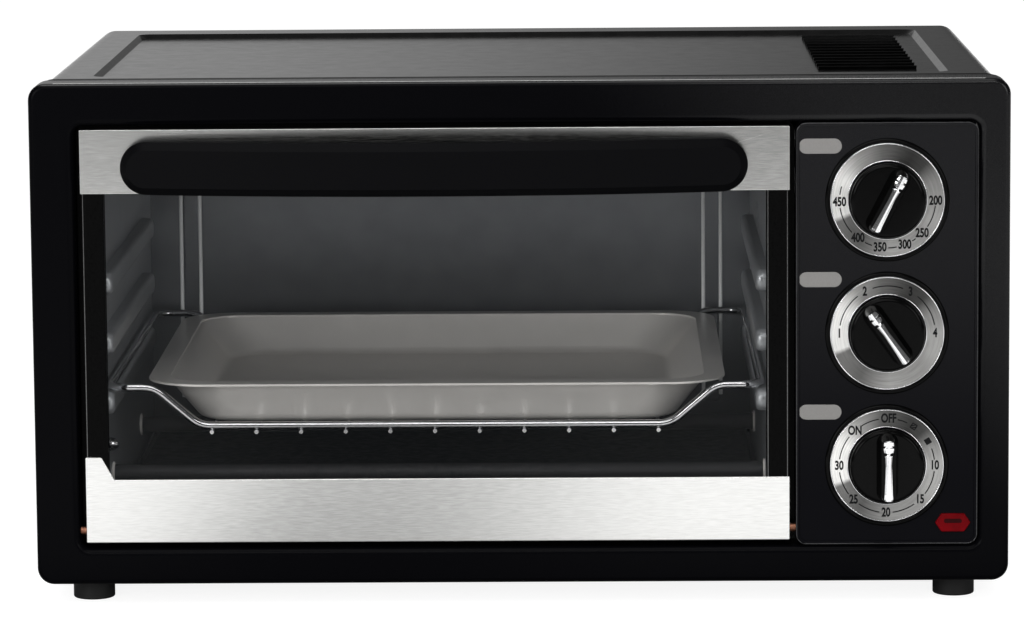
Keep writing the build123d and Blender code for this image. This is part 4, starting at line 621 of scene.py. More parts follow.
def turned_metal(name):
    """Metal turned on a lathe, with grooves along U of the piece's UV map and painted reflection in
    sectors.
    """
    tree, shader = start_finish(name, RING_COLOR, metallic=1.0, roughness=RING_ROUGHNESS)
    shader.inputs["Anisotropic"].default_value = RING_ANISOTROPY
    shader.inputs["Anisotropic Rotation"].default_value = RING_GRAIN_TURN
    tangent = add_node(tree, "ShaderNodeTangent", direction_type="UV_MAP", uv_map="around")
    tree.links.new(tangent.outputs[0], shader.inputs["Tangent"])
    place = add_node(tree, "ShaderNodeUVMap", uv_map="around")
    mapping = add_node(tree, "ShaderNodeMapping", {"Scale": GROOVE_STRETCH})
    grooves = add_node(tree, "ShaderNodeTexNoise", {"Scale": GROOVE_SCALE, "Detail": GROOVE_DETAIL})
    tree.links.new(place.outputs[0], mapping.inputs["Vector"])
    tree.links.new(mapping.outputs[0], grooves.inputs["Vector"])
    around = add_node(tree, "ShaderNodeSeparateXYZ")
    tree.links.new(place.outputs[0], around.inputs[0])
    # Painted reflection: a ramp around the ring paints lighter and darker sectors into the base colour.
    sectors = add_node(tree, "ShaderNodeValToRGB")
    stops = sectors.color_ramp.elements
    for end in stops:
        end.color = sector_color(RING_SEAM_GREY)
    for position, value in RING_PAINTED_SECTORS:
        stops.new(position).color = sector_color(value)
    tree.links.new(around.outputs["X"], sectors.inputs[0])
    reflection_and_grooves = add_node(tree, "ShaderNodeMix", data_type="RGBA", blend_type="MULTIPLY")
    reflection_and_grooves.inputs["Factor"].default_value = 1.0
    tree.links.new(sectors.outputs[0], reflection_and_grooves.inputs["A"])
    tree.links.new(tint(tree, grooves.outputs[0], grey(RING_GROOVE_DARK), grey(1.0)), reflection_and_grooves.inputs["B"])
    tree.links.new(reflection_and_grooves.outputs["Result"], shader.inputs["Base Color"])


turned_metal("turned_ring")
print("sectors:", len(RING_PAINTED_SECTORS))

# %% Ring profile and rings
RING_WIDTH = 8.7 * MM
RING_EDGE = 0.5 * MM
RING_STEPS = 128
# Points of a rounded edge, as shares of its size: how far in from the rim, and how far below the face.
RING_CORNER = [(0.0, 1.0), (0.3, 0.3), (1.0, 0.0), (1.6, 0.0)]
ring_low, ring_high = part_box("dial_rings")
DIAL_X = (ring_low.x + ring_high.x) / 2
RING_OUTER = (ring_high.x - ring_low.x) / 2
RING_INNER = RING_OUTER - RING_WIDTH
RING_FRONT = ring_low.y - FRONT_Y
RING_BACK = ring_high.y - FRONT_Y
DIAL_Z = (ring_low.z + ring_high.z) / 2
DIAL_SPACING = (ring_high.z - ring_low.z) / 2 - RING_OUTER
DIALS = {"temperature": DIAL_Z + DIAL_SPACING, "function": DIAL_Z, "timer": DIAL_Z - DIAL_SPACING}


def spin_ring(drawing, profile, place):
    """Turns a closed profile of (radius, height) about Z. UV: U runs around, V along the profile."""
    layer = drawing.loops.layers.uv.get("around") or drawing.loops.layers.uv.new("around")
    rounds = []
    for step in range(RING_STEPS):
        angle = 2 * math.pi * step / RING_STEPS
        turn = place @ Matrix.Rotation(angle, 4, "Z")
        points = [turn @ Vector((radius, 0, height)) for radius, height in profile]
        rounds.append([drawing.verts.new(point) for point in points])
    for step in range(RING_STEPS):
        here = rounds[step]
        there = rounds[(step + 1) % RING_STEPS]
        for k in range(len(profile)):
            j = (k + 1) % len(profile)
            face = drawing.faces.new((here[k], there[k], there[j], here[j]))
            face.smooth = True
            corners = ((step, k), (step + 1, k), (step + 1, k + 1), (step, k + 1))
            for loop, (u, v) in zip(face.loops, corners):
                loop[layer].uv = (u / RING_STEPS, v / len(profile))


def ring_profile():
    """Section of a dial ring: flat face, small rounded edges, flat back at height zero."""
    rise = RING_BACK - RING_FRONT
    corner = [(inset * RING_EDGE, rise - drop * RING_EDGE) for inset, drop in RING_CORNER]
    inner = [(RING_INNER + inset, height) for inset, height in corner]
    outer = [(RING_OUTER - inset, height) for inset, height in reversed(corner)]
    return [(RING_INNER, 0.0), *inner, *outer, (RING_OUTER, 0.0)]


rings = bmesh.new()
for dial_z in DIALS.values():
    spin_ring(rings, ring_profile(), facing_front(DIAL_X, RING_BACK, dial_z))
add_drawn("turned_dial_rings", rings, "turned_ring", "oven", ["dial_rings"])

# %% [markdown]
# ## Black bezels
# A glossy black moulding runs round each ring and hides its cut edge. It is a half-round section
# turned about the dial's axis, set over the lip that the control panel carries there.

# %% Bezels
PANEL_FACE = 2.0 * MM
BEZEL_WIDTH = 2.3 * MM
BEZEL_RISE = 1.25 * MM
BEZEL_GAP = 0.05 * MM
BEZEL_STEPS = 8


def bezel_profile():
    """Half-round section that starts just outside the ring."""
    middle = RING_OUTER + BEZEL_GAP + BEZEL_WIDTH / 2
    points = []
    for step in range(BEZEL_STEPS + 1):
        angle = math.pi * (1 - step / BEZEL_STEPS)
        points.append((middle + BEZEL_WIDTH / 2 * math.cos(angle), BEZEL_RISE * math.sin(angle)))
    return points


bezels = bmesh.new()
for dial_z in DIALS.values():
    spin_ring(bezels, bezel_profile(), facing_front(DIAL_X, PANEL_FACE, dial_z))
add_drawn("dial_bezels", bezels, "knob_black", "oven")

# %% [markdown]
# ## Chrome pointers
# Each knob carries a slim plated pointer: a long tail, a waist, a groove and a broader head. Its
# top is rounded, so one narrow line of light runs along it. A section with a crest is carried along
# the pointer through a short list of half widths, one pointer for each control, because each turns
# on its own.

# %% Pointers
# Degrees clockwise that each pointer is turned at rest.
REST_TURN = {"temperature": 27.5, "function": -35.6, "timer": 0.0}
POINTER_HALF = 14.3 * MM
POINTER_PROUD = 0.9 * MM
POINTER_SUNK = 0.6 * MM
# Half width in millimetres by the place along the pointer, from its tail at -1 to its tip at 1.
POINTER_WIDTHS = [
    (-1.02, 1.7),
    (-0.96, 2.1),
    (-0.80, 1.9),
    (0.15, 1.4),
    (0.42, 1.6),
    (0.50, 1.9),
    (0.53, 1.1),
    (0.57, 1.1),
    (0.60, 2.1),
    (0.70, 2.4),
    (0.75, 2.4),
    (0.77, 1.7),
    (0.81, 1.7),
    (0.83, 2.4),
    (0.95, 2.2),
    (1.00, 1.7),
]
# Right half of the section, from the crest down, as shares of the half width and of the rise.
POINTER_FLANK = [(0.62, 0.55), (1.0, 0.0), (1.0, -0.8)]
POINTER_CREST = (0.0, 0.75)
POINTER_SECTION = [*[(-x, z) for x, z in reversed(POINTER_FLANK)], POINTER_CREST, *POINTER_FLANK]


def crested_bar(drawing, stations, section, rise, place):
    """Bar along Y: a section of shares carried through stations of (place along Y, half width)."""
    rows = []
    for y, half_width in stations:
        points = [place @ Vector((x * half_width, y, z * rise)) for x, z in section]
        rows.append([drawing.verts.new(point) for point in points])
    count = len(section)
    for here, there in zip(rows, rows[1:]):
        for k in range(count):
            j = (k + 1) % count
            drawing.faces.new((here[k], here[j], there[j], there[k]))
    drawing.faces.new(rows[0])
    drawing.faces.new(rows[-1])


stations = [(share * POINTER_HALF, half_width * MM) for share, half_width in POINTER_WIDTHS]
for dial, dial_z in DIALS.items():
    crest_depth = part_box(f"{dial}_pointer")[0].y - FRONT_Y + POINTER_SUNK
    turned = Matrix.Rotation(math.radians(-REST_TURN[dial]), 4, "Z")
    place = facing_front(DIAL_X, crest_depth, dial_z) @ turned
    pointer = bmesh.new()
    crested_bar(pointer, stations, POINTER_SECTION, POINTER_PROUD, place)
    name = f"{dial}_chrome_pointer"
    add_drawn(name, pointer, "pointer_chrome", f"{dial}_control", [f"{dial}_pointer"])

# %% [markdown]
# ## Ink on the dials
# Thin printed arcs join plain numbers. An arc follows a path, so a small node tree draws it: a
# curve arc, a flat profile along it, and the ink's material. The tree runs once for each arc, and
# the plain meshes that come out are joined with the numbers into one printed layer.

# %% Node-tree helpers
FLOAT = "NodeSocketFloat"
MATERIAL = "NodeSocketMaterial"


def new_tree(name, inputs):
    """Empty geometry tree with named inputs: name to (socket type, default value), and a Finish."""
    tree = bpy.data.node_groups.new(name, "GeometryNodeTree")
    tree.interface.new_socket("Geometry", in_out="INPUT", socket_type="NodeSocketGeometry")
    for label, (kind, value) in inputs.items():
        socket = tree.interface.new_socket(label, in_out="INPUT", socket_type=kind)
        if value is not None:
            socket.default_value = value
    tree.interface.new_socket("Finish", in_out="INPUT", socket_type=MATERIAL)
    tree.interface.new_socket("Geometry", in_out="OUTPUT", socket_type="NodeSocketGeometry")
    return tree, add_node(tree, "NodeGroupInput"), add_node(tree, "NodeGroupOutput")


def feed(tree, given, targets):
    """Links named inputs of a tree to sockets of its nodes: input to (node, socket)."""
    for label, (node, socket) in targets.items():
        tree.links.new(given.outputs[label], node.inputs[socket])


def end_tree(tree, geometry, given, result):
    """Ends a tree: real geometry in place of instances, with the material of its Finish input."""
    real = add_node(tree, "GeometryNodeRealizeInstances")
    painted = add_node(tree, "GeometryNodeSetMaterial")
    tree.links.new(geometry, real.inputs[0])
    tree.links.new(real.outputs[0], painted.inputs[0])
    tree.links.new(given.outputs["Finish"], painted.inputs["Material"])
    tree.links.new(painted.outputs[0], result.inputs[0])


def plain_mesh(holder):
    """Mesh that an object shows, without the object, which is removed."""
    graph = bpy.context.evaluated_depsgraph_get()
    mesh = bpy.data.meshes.new_from_object(holder.evaluated_get(graph))
    for modifier in list(holder.modifiers):
        holder.modifiers.remove(modifier)
    bpy.data.objects.remove(holder)
    return mesh


def run_tree(tree, finish, values, points=()):
    """Runs a tree on a mesh of loose points and returns the plain mesh that it makes."""
    start = bpy.data.meshes.new("start")
    start.from_pydata([tuple(p) for p in points], [], [])
    holder = bpy.data.objects.new("holder", start)
    scene.collection.objects.link(holder)
    step = holder.modifiers.new("tree", "NODES")
    step.node_group = tree
    filled = {**values, "Finish": finishes[finish]}
    for item in tree.interface.items_tree:
        if item.in_out == "INPUT" and item.name in filled:
            step[item.identifier] = filled[item.name]
    return plain_mesh(holder)


# %% Arc tree
INK_HEIGHT = 0.06 * MM
INK_LINE = 0.5 * MM
ARC_STEPS = 24
arc_tree, given, result = new_tree(
    "ink_arc",
    {"Radius": (FLOAT, 0.02), "Start": (FLOAT, 0.0), "Sweep": (FLOAT, 1.0), "Line": (FLOAT, INK_LINE)},
)
arc = add_node(arc_tree, "GeometryNodeCurveArc", {"Resolution": ARC_STEPS})
flat = add_node(arc_tree, "GeometryNodeCurvePrimitiveQuadrilateral", {"Height": INK_HEIGHT})
drawn = add_node(arc_tree, "GeometryNodeCurveToMesh", {"Fill Caps": True})
feed(
    arc_tree,
    given,
    {
        "Radius": (arc, "Radius"),
        "Start": (arc, "Start Angle"),
        "Sweep": (arc, "Sweep Angle"),
        "Line": (flat, "Width"),
    },
)
arc_tree.links.new(arc.outputs["Curve"], drawn.inputs["Curve"])
arc_tree.links.new(flat.outputs[0], drawn.inputs["Profile Curve"])
end_tree(arc_tree, drawn.outputs[0], given, result)
print("arc tree nodes:", len(arc_tree.nodes))

# %% Numbers and shade marks
grained("dial_ink", (0.004, 0.004, 0.0045), (0.009, 0.009, 0.0095),
        rough=(0.5, 0.6), waves=3000, microns=2, specular=0.05)
INK_SIZE = 5.9 * MM
INK_BOLD = 0.22 * MM
SHADE_MARK = 2.9 * MM
STRIPE_SHIFT = 0.35
STRIPE_REACH = 0.9


def word_mesh(word):
    """Flat mesh of a printed word, centred on the origin."""
    letters = bpy.data.curves.new("word", "FONT")
    letters.body = word
    letters.size = INK_SIZE
    letters.align_x = "CENTER"
    letters.align_y = "CENTER"
    letters.extrude = INK_HEIGHT / 2
    letters.offset = INK_BOLD
    holder = bpy.data.objects.new("word", letters)
    scene.collection.objects.link(holder)
    return plain_mesh(holder)


def printed_bar(drawing, x0, y0, x1, y1, place):
    """Flat printed rectangle."""
    corners = [Vector((x, y, INK_HEIGHT / 2)) for x, y in ((x0, y0), (x1, y0), (x1, y1), (x0, y1))]
    drawing.faces.new([drawing.verts.new(place @ corner) for corner in corners])


def shade_mark(drawing, dark, place):
    """Square that stands for a toast shade: filled for dark, an outline with two stripes for light."""
    half = SHADE_MARK / 2
    if dark:
        printed_bar(drawing, -half, -half, half, half, place)
        return
    line = INK_LINE
    for quarter in range(4):
        side = place @ Matrix.Rotation(math.radians(90 * quarter), 4, "Z")
        printed_bar(drawing, -half, half - line, half - line, half, side)
    slant = place @ Matrix.Rotation(math.radians(45), 4, "Z")
    reach = half * STRIPE_REACH
    for shift in (-half * STRIPE_SHIFT, half * STRIPE_SHIFT):
        printed_bar(drawing, -reach, shift - line / 2, reach, shift + line / 2, slant)


# %% Printed layer of the three dials
INK_RADIUS = (RING_INNER + RING_OUTER) / 2
INK_NARROW = Matrix.Diagonal((0.70, 1.0, 1.0, 1.0))
# Places are degrees clockwise from straight up.
LEGENDS = {
    "temperature": {91: "200", 134: "250", 159: "300", 189: "350", 218: "400", 268: "450"},
    "function": {270: "1", 332: "2", 29: "3", 90: "4"},
    "timer": {2: "OFF", 90: "10", 136: "15", 181: "20", 224: "25", 270: "30", 318: "ON"},
}
ARCS = {
    "temperature": [(97, 124), (144, 149), (169, 179), (199, 208), (228, 261), (277, 287)],
    "function": [(280, 322), (342, 19), (39, 80)],
    "timer": [(13, 25), (69, 83), (97, 127), (145, 173), (189, 216), (233, 262), (278, 308), (328, 350)],
}
SHADE_MARKS = {34: False, 59: True}


def dial_face(dial):
    """Place of a dial's printed layer."""
    return facing_front(DIAL_X, RING_FRONT - INK_HEIGHT / 2, DIALS[dial])


def on_dial(angle):
    """Shift to a place on the printed circle, by degrees clockwise from straight up."""
    turn = math.radians(angle)
    return Matrix.Translation((INK_RADIUS * math.sin(turn), INK_RADIUS * math.cos(turn), 0.0))


def join_in(drawing, mesh, place):
    """Adds a mesh to a bmesh at a place."""
    mesh.transform(place)
    drawing.from_mesh(mesh)
    bpy.data.meshes.remove(mesh)


ink = bmesh.new()
for angle, dark in SHADE_MARKS.items():
    turned = Matrix.Rotation(math.radians(-angle), 4, "Z")
    shade_mark(ink, dark, dial_face("timer") @ on_dial(angle) @ turned)
for dial in DIALS:
    for angle, word in LEGENDS[dial].items():
        join_in(ink, word_mesh(word), dial_face(dial) @ on_dial(angle) @ INK_NARROW)
    for first, last in ARCS[dial]:
        sweep = (last - first) % 360
        values = {
            "Radius": INK_RADIUS,
            "Start": math.radians(90 - first - sweep),
            "Sweep": math.radians(sweep),
            "Line": INK_LINE,
        }
        join_in(ink, run_tree(arc_tree, "dial_ink", values), dial_face(dial))
add_drawn("dial_ink", ink, "dial_ink", "oven")

# %% [markdown]
# ## Bright beads on each ring
# A thin polished line separates the ring from the knob, and another runs round its outside. Each is
# a circle with a small round section, so a node tree makes one bead and sets it on the three dial
# centres.

# %% Dial beads
BEAD_R = 0.32 * MM
# Share of its radius by which a bead's middle lies behind the face that it sits on.
BEAD_SUNK = 0.4
BEAD_STEPS = 96
BEAD_SECTION_STEPS = 10
UPRIGHT = (math.radians(90), 0.0, 0.0)
bead_tree, given, result = new_tree("dial_beads", {"Circle": (FLOAT, 0.018), "Section": (FLOAT, BEAD_R)})
circle = add_node(bead_tree, "GeometryNodeCurvePrimitiveCircle", {"Resolution": BEAD_STEPS})
section = add_node(bead_tree, "GeometryNodeCurvePrimitiveCircle", {"Resolution": BEAD_SECTION_STEPS})
bead = add_node(bead_tree, "GeometryNodeCurveToMesh")
set_beads = add_node(bead_tree, "GeometryNodeInstanceOnPoints", {"Rotation": UPRIGHT})
feed(
    bead_tree,
    given,
    {"Circle": (circle, "Radius"), "Section": (section, "Radius"), "Geometry": (set_beads, "Points")},
)
bead_tree.links.new(circle.outputs[0], bead.inputs["Curve"])
bead_tree.links.new(section.outputs[0], bead.inputs["Profile Curve"])
bead_tree.links.new(bead.outputs[0], set_beads.inputs["Instance"])
end_tree(bead_tree, set_beads.outputs[0], given, result)


def smooth(mesh):
    """Shades a mesh smooth all over."""
    mesh.polygons.foreach_set("use_smooth", [True] * len(mesh.polygons))
    return mesh


bead_depth = FRONT_Y + RING_FRONT + BEAD_R * BEAD_SUNK
bead_spots = [(DIAL_X, bead_depth, dial_z) for dial_z in DIALS.values()]
bead_circles = {"dial_beads": RING_INNER + BEAD_R, "dial_outer_beads": RING_OUTER - BEAD_R}
for name, radius in bead_circles.items():
    bead_values = {"Circle": radius, "Section": BEAD_R}
    bead_mesh = smooth(run_tree(bead_tree, "pointer_chrome", bead_values, bead_spots))
    add_piece(name, bead_mesh, "pointer_chrome", "oven")

# %% [markdown]
# ## Panel bead and casing hem
# Two edges on the front catch a thin line of light: the bead round the control panel and the rolled
# hem at the front of the casing. Both follow a rectangle with rounded corners, so one node tree
# draws the path and carries a round section along it.

# %% Rounded-path tree
CORNER_STEPS = 12
PATH_SECTION_STEPS = 12
path_tree, given, result = new_tree(
    "rounded_path",
    {"Width": (FLOAT, 0.1), "Height": (FLOAT, 0.1), "Corner": (FLOAT, 0.01), "Section": (FLOAT, 0.0005)},
)
outline = add_node(path_tree, "GeometryNodeCurvePrimitiveQuadrilateral")
rounded = add_node(
    path_tree, "GeometryNodeFilletCurve", {"Count": CORNER_STEPS, "Limit Radius": True}, mode="POLY"
)
section = add_node(path_tree, "GeometryNodeCurvePrimitiveCircle", {"Resolution": PATH_SECTION_STEPS})
swept = add_node(path_tree, "GeometryNodeCurveToMesh")
feed(
    path_tree,
    given,
    {
        "Width": (outline, "Width"),
        "Height": (outline, "Height"),
        "Corner": (rounded, "Radius"),
        "Section": (section, "Radius"),
    },
)
path_tree.links.new(outline.outputs[0], rounded.inputs["Curve"])
path_tree.links.new(rounded.outputs[0], swept.inputs["Curve"])
path_tree.links.new(section.outputs[0], swept.inputs["Profile Curve"])
end_tree(path_tree, swept.outputs[0], given, result)
print("path tree nodes:", len(path_tree.nodes))

# %% Panel bead and casing hem
PANEL_BEAD_R = 0.4 * MM
PANEL_BEAD_INSET = 0.4 * MM
PANEL_CORNER = 5.0 * MM
HEM_R = 1.2 * MM
HEM_SUNK = 0.2 * MM
HEM_LIFT = 0.8 * MM
HEM_CORNER = 9.0 * MM


def add_rounded_loop(name, low, high, depth, corner, section, finish):
    """Adds a round bead along a rounded rectangle between two corners, at a depth behind the front."""
    values = {"Width": high.x - low.x, "Height": high.z - low.z, "Corner": corner, "Section": section}
    mesh = smooth(run_tree(path_tree, finish, values))
    mesh.transform(facing_front((low.x + high.x) / 2, depth, (low.z + high.z) / 2))
    add_piece(name, mesh, finish, "oven")


panel_low, panel_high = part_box("control_panel")
bead_inset = Vector((PANEL_BEAD_INSET, 0, PANEL_BEAD_INSET))
add_rounded_loop(
    "panel_bead",
    panel_low + bead_inset,
    panel_high - bead_inset,
    panel_low.y - FRONT_Y + PANEL_BEAD_R * BEAD_SUNK,
    PANEL_CORNER - PANEL_BEAD_INSET,
    PANEL_BEAD_R,
    "bead_black",
)
wrap_low, wrap_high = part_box("outer_wrap")
add_rounded_loop(
    "casing_hem",
    Vector((wrap_low.x + HEM_SUNK, 0, wrap_low.z + HEM_R)),
    Vector((wrap_high.x - HEM_SUNK, 0, wrap_high.z + HEM_LIFT)),
    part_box("front_fascia")[1].y - FRONT_Y + HEM_R,
    HEM_CORNER,
    HEM_R,
    "gloss_black_metal",
)

# %% [markdown]
# ## Label plates
# A small grey plate with round ends sits beside each dial. It is left bare. A bevelled box would
# need a bevel of half the plate's height, so the outline is drawn as a stadium and pushed out a
# little. A fine bevel lets its edge catch the light.

# %% Label plates
PLATE_LEFT = 131.8 * MM
PLATE_LENGTH = 20.3 * MM
PLATE_HEIGHT = 7.2 * MM
PLATE_RISE = 0.35 * MM
PLATE_ABOVE_DIAL = 25.65 * MM
PLATE_EDGE = 0.15 * MM
ROUND_END_STEPS = 16


def stadium(drawing, length, height, rise, place):
    """Solid with round ends, standing on the drawing plane."""
    straight = (length - height) / 2
    rim = []
    for side, first in ((1, -90), (-1, 90)):
        for step in range(ROUND_END_STEPS + 1):
            angle = math.radians(first + 180 * step / ROUND_END_STEPS)
            x = side * straight + height / 2 * math.cos(angle)
            rim.append(drawing.verts.new(place @ Vector((x, height / 2 * math.sin(angle), 0.0))))
    base = drawing.faces.new(rim)
    top = bmesh.ops.extrude_face_region(drawing, geom=[base])["geom"]
    lift = place.to_3x3() @ Vector((0, 0, rise))
    bmesh.ops.translate(drawing, verts=[v for v in top if isinstance(v, bmesh.types.BMVert)], vec=lift)


plates = bmesh.new()
for dial_z in DIALS.values():
    plate_place = facing_front(PLATE_LEFT + PLATE_LENGTH / 2, PANEL_FACE, dial_z + PLATE_ABOVE_DIAL)
    stadium(plates, PLATE_LENGTH, PLATE_HEIGHT, PLATE_RISE, plate_place)
label_plates = add_drawn("label_plates", plates, "grey_plastic", "oven")
round_edges(label_plates, PLATE_EDGE)

# %% [markdown]
# ## Slot in the lamp's lens
# The red lens has a darker slot across its middle, behind which the lamp glows when the oven is on.
# The slot only shows as a darker shape, so nothing is cut: a thin dark plate with round ends lies
# on the lens. Its dark red is painted shade, standing for the shade inside the recessed slot.

# %% Slot in the lamp's lens
# Dark red of the slot's painted shade.
grained("lens_slot_shade", (0.012, 0.001, 0.001), (0.020, 0.001, 0.002),
        rough=(0.24, 0.26), waves=120, specular=0.05)
LENS_SLOT_LENGTH = 8.5 * MM
LENS_SLOT_HEIGHT = 2.0 * MM
LENS_SLOT_RISE = 0.12 * MM
LENS_SLOT_LIFT = 0.9 * MM
lens_low, lens_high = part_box("lamp_lens")
lens_middle = (lens_low + lens_high) / 2
slot_place = facing_front(lens_middle.x, lens_low.y - FRONT_Y, lens_middle.z + LENS_SLOT_LIFT)
lens_slot_shade = bmesh.new()
stadium(lens_slot_shade, LENS_SLOT_LENGTH, LENS_SLOT_HEIGHT, LENS_SLOT_RISE, slot_place)
add_drawn("lamp_slot", lens_slot_shade, "lens_slot_shade", "oven")

# %% [markdown]
# ## Rear screws
# Six screws with a domed head and a cross recess hold the rear panel. They are alike, so one node
# tree makes a head, cuts the cross out of it and sets it on six points.

# %% Screw tree
DOME_SEGMENTS = 32
DOME_RINGS = 16
# The cross in shares of the head's size: its bars' length, width and height, and their middle's level.
CROSS_LENGTH = 1.1
CROSS_WIDTH = 0.2
CROSS_HEIGHT = 1.0
CROSS_LEVEL = 1.05
screw_tree, given, result = new_tree(
    "cross_screws",
    {
        "Head radius": (FLOAT, 0.0034),
        "Head height": (FLOAT, 0.002),
        "Turn": ("NodeSocketRotation", None),
    },
)
dome_inputs = {"Segments": DOME_SEGMENTS, "Rings": DOME_RINGS, "Radius": 1.0}
dome = add_node(screw_tree, "GeometryNodeMeshUVSphere", dome_inputs)
size = add_node(screw_tree, "ShaderNodeCombineXYZ")
head = add_node(screw_tree, "GeometryNodeTransform")
bars = add_node(screw_tree, "GeometryNodeJoinGeometry")
cut = add_node(screw_tree, "GeometryNodeMeshBoolean", operation="DIFFERENCE")
place_heads = add_node(screw_tree, "GeometryNodeInstanceOnPoints")
for bar_x, bar_y in ((CROSS_LENGTH, CROSS_WIDTH), (CROSS_WIDTH, CROSS_LENGTH)):
    block = add_node(screw_tree, "GeometryNodeMeshCube", {"Size": (bar_x, bar_y, CROSS_HEIGHT)})
    raised = add_node(screw_tree, "GeometryNodeTransform", {"Translation": (0.0, 0.0, CROSS_LEVEL)})
    screw_tree.links.new(block.outputs[0], raised.inputs[0])
    screw_tree.links.new(raised.outputs[0], bars.inputs[0])
screw_tree.links.new(dome.outputs[0], cut.inputs["Mesh 1"])
screw_tree.links.new(bars.outputs[0], cut.inputs["Mesh 2"])
screw_tree.links.new(cut.outputs[0], head.inputs[0])
screw_tree.links.new(size.outputs[0], head.inputs["Scale"])
screw_tree.links.new(head.outputs[0], place_heads.inputs["Instance"])
for axis in ("X", "Y"):
    feed(screw_tree, given, {"Head radius": (size, axis)})
feed(screw_tree, given, {"Head height": (size, "Z"), "Turn": (place_heads, "Rotation")})
feed(screw_tree, given, {"Geometry": (place_heads, "Points")})
end_tree(screw_tree, place_heads.outputs[0], given, result)
print("screw tree nodes:", len(screw_tree.nodes))

# %% Rear screws
HEAD_R = 3.4 * MM
HEAD_RISE = 2.0 * MM
REAR_SCREW_MIDDLE = 131.5 * MM
TO_BACK = (math.radians(-90), 0.0, 0.0)
screw_low, screw_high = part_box("rear_panel_screws")
rear_face = screw_high.y - HEAD_RISE
screw_heights = [screw_low.z + HEAD_R, REAR_SCREW_MIDDLE, screw_high.z - HEAD_R]
screw_columns = [screw_low.x + HEAD_R, screw_high.x - HEAD_R]
screw_spots = [(x, rear_face, z) for x in screw_columns for z in screw_heights]
screw_values = {"Head radius": HEAD_R, "Head height": HEAD_RISE, "Turn": TO_BACK}
screw_mesh = run_tree(screw_tree, "zinc_screw", screw_values, screw_spots)
add_piece("rear_cross_screws", screw_mesh, "zinc_screw", "oven", ["rear_panel_screws"])

# %% [markdown]
# ## Screw on the cavity's left wall
# One plated screw head shows through the glass, low on the left wall near the mouth. The same tree
# makes it, turned to face the middle of the cavity.

# %% Screw on the cavity's left wall
WALL_HEAD_R = 3.6 * MM
WALL_HEAD_RISE = 5.5 * MM
WALL_SCREW_DEPTH = 52 * MM
WALL_SCREW_Z = 71 * MM
TO_RIGHT = (0.0, math.radians(90), 0.0)
wall_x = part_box("cavity_floor")[0].x
wall_spots = [(wall_x, FRONT_Y + WALL_SCREW_DEPTH, WALL_SCREW_Z)]
wall_values = {"Head radius": WALL_HEAD_R, "Head height": WALL_HEAD_RISE, "Turn": TO_RIGHT}
wall_screw_mesh = run_tree(screw_tree, "pointer_chrome", wall_values, wall_spots)
add_piece("cavity_wall_screw", wall_screw_mesh, "pointer_chrome", "oven")

# %% [markdown]
# ## Steel edges of the door
# The glass is held in a thin steel channel, and its cut edges show as thin upright lines beside the
# black strips. The rest of the channel is hidden, so only these edges are made, each a slim bar
# between the two trims.

# %% Door edges
EDGE_WIDTH = 0.5 * MM
EDGE_DEPTH = 1.6 * MM
EDGE_PROUD = 0.2 * MM
EDGE_ROUND = 0.15 * MM


def slim_bar(drawing, low, high):
    """Upright bar between two corners."""
    place = Matrix.Translation((low + high) / 2) @ Matrix.Diagonal((*(high - low), 1.0))
    bmesh.ops.create_cube(drawing, size=1.0, matrix=place)


left_low, left_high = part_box("door_left_strip")
right_low, right_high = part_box("door_right_strip")
edges = bmesh.new()
for edge_x in (left_low.x, right_low.x + EDGE_WIDTH, right_high.x - EDGE_WIDTH):
    edge_low = Vector((edge_x, left_low.y - EDGE_PROUD, left_low.z))
    edge_high = Vector((edge_x + EDGE_WIDTH, left_low.y + EDGE_DEPTH, left_high.z))
    slim_bar(edges, edge_low, edge_high)
door_edges = add_drawn("door_steel_edges", edges, "edge_chrome", "door")
round_edges(door_edges, EDGE_ROUND)
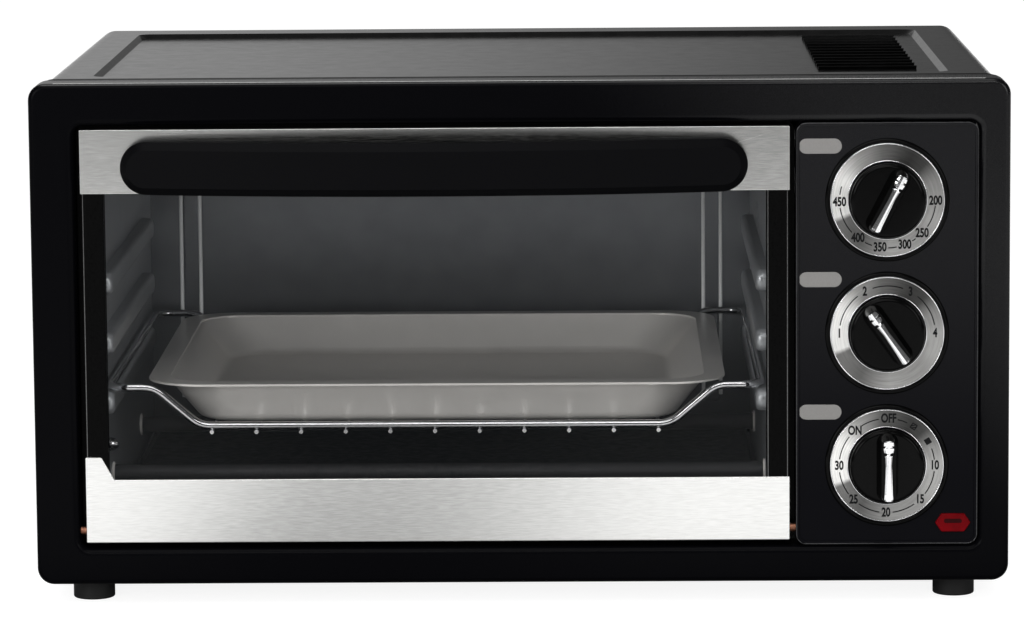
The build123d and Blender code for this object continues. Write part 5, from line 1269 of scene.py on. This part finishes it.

# %% [markdown]
# ## Painted highlights on the back wall's ribs
# The two ribs pressed into the cavity's back wall have sharply folded edges that catch the light as
# upright lines. Four slim round bars in near white, sunk in the folds, give those lines as painted
# highlights. They are alike, so a node tree sets one bar on four points.

# %% Upright-bar tree
BAR_SIDES = 16
bar_tree, given, result = new_tree("upright_bars", {"Length": (FLOAT, 0.1), "Section": (FLOAT, 0.001)})
bar = add_node(bar_tree, "GeometryNodeMeshCylinder", {"Vertices": BAR_SIDES})
set_bars = add_node(bar_tree, "GeometryNodeInstanceOnPoints")
feed(bar_tree, given, {"Length": (bar, "Depth"), "Section": (bar, "Radius")})
feed(bar_tree, given, {"Geometry": (set_bars, "Points")})
bar_tree.links.new(bar.outputs["Mesh"], set_bars.inputs["Instance"])
end_tree(bar_tree, set_bars.outputs[0], given, result)
print("bar tree nodes:", len(bar_tree.nodes))

# %% Rib edges
RIB_EDGE_R = 1.05 * MM
RIB_END_GAP = 12 * MM
RIB_REACH = 2.6 * MM
RIB_RUN_LEFT = (16.6 * MM, 26.7 * MM)
RIB_RUN_RIGHT = (15.7 * MM, 24.9 * MM)
cavity_low, cavity_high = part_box("cavity_ceiling")
rib_depth = cavity_high.y - RIB_REACH
rib_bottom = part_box("cavity_back_wall")[0].z + RIB_END_GAP
rib_top = cavity_low.z - RIB_END_GAP
rib_columns = [cavity_low.x + run for run in RIB_RUN_LEFT]
rib_columns += [cavity_high.x - run for run in RIB_RUN_RIGHT]
rib_spots = [(x, rib_depth, (rib_bottom + rib_top) / 2) for x in rib_columns]
rib_values = {"Length": rib_top - rib_bottom, "Section": RIB_EDGE_R}
# The near-white bars are painted highlights along the rib folds.
rib_mesh = run_tree(bar_tree, "rib_highlight_white", rib_values, rib_spots)
add_piece("rib_highlight_bars", rib_mesh, "rib_highlight_white", "oven")

# %% [markdown]
# ## Light line on the frame's top edge
# Where the frame's top face rolls over into its front, the moulding catches a crisp line of light.
# The solid's rounding there is too dark to show it from afar, so the same tree gives a slim bar,
# laid along the edge. Its bright metal, on black moulding, is a painted highlight.

# %% Frame edge line
LINE_R = 0.35 * MM
LINE_DEPTH = 2.0 * MM
LINE_SUNK = 0.15 * MM
LINE_END_GAP = 12 * MM
frame_low, frame_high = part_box("front_fascia")
line_values = {"Length": frame_high.x - frame_low.x - 2 * LINE_END_GAP, "Section": LINE_R}
line_mesh = run_tree(bar_tree, "line_chrome", line_values, [(0.0, 0.0, 0.0)])
line_place = Matrix.Translation((0.0, FRONT_Y + LINE_DEPTH, frame_high.z - LINE_SUNK))
line_mesh.transform(line_place @ Matrix.Rotation(math.radians(90), 4, "Y"))
add_piece("frame_highlight_bar", line_mesh, "line_chrome", "oven")
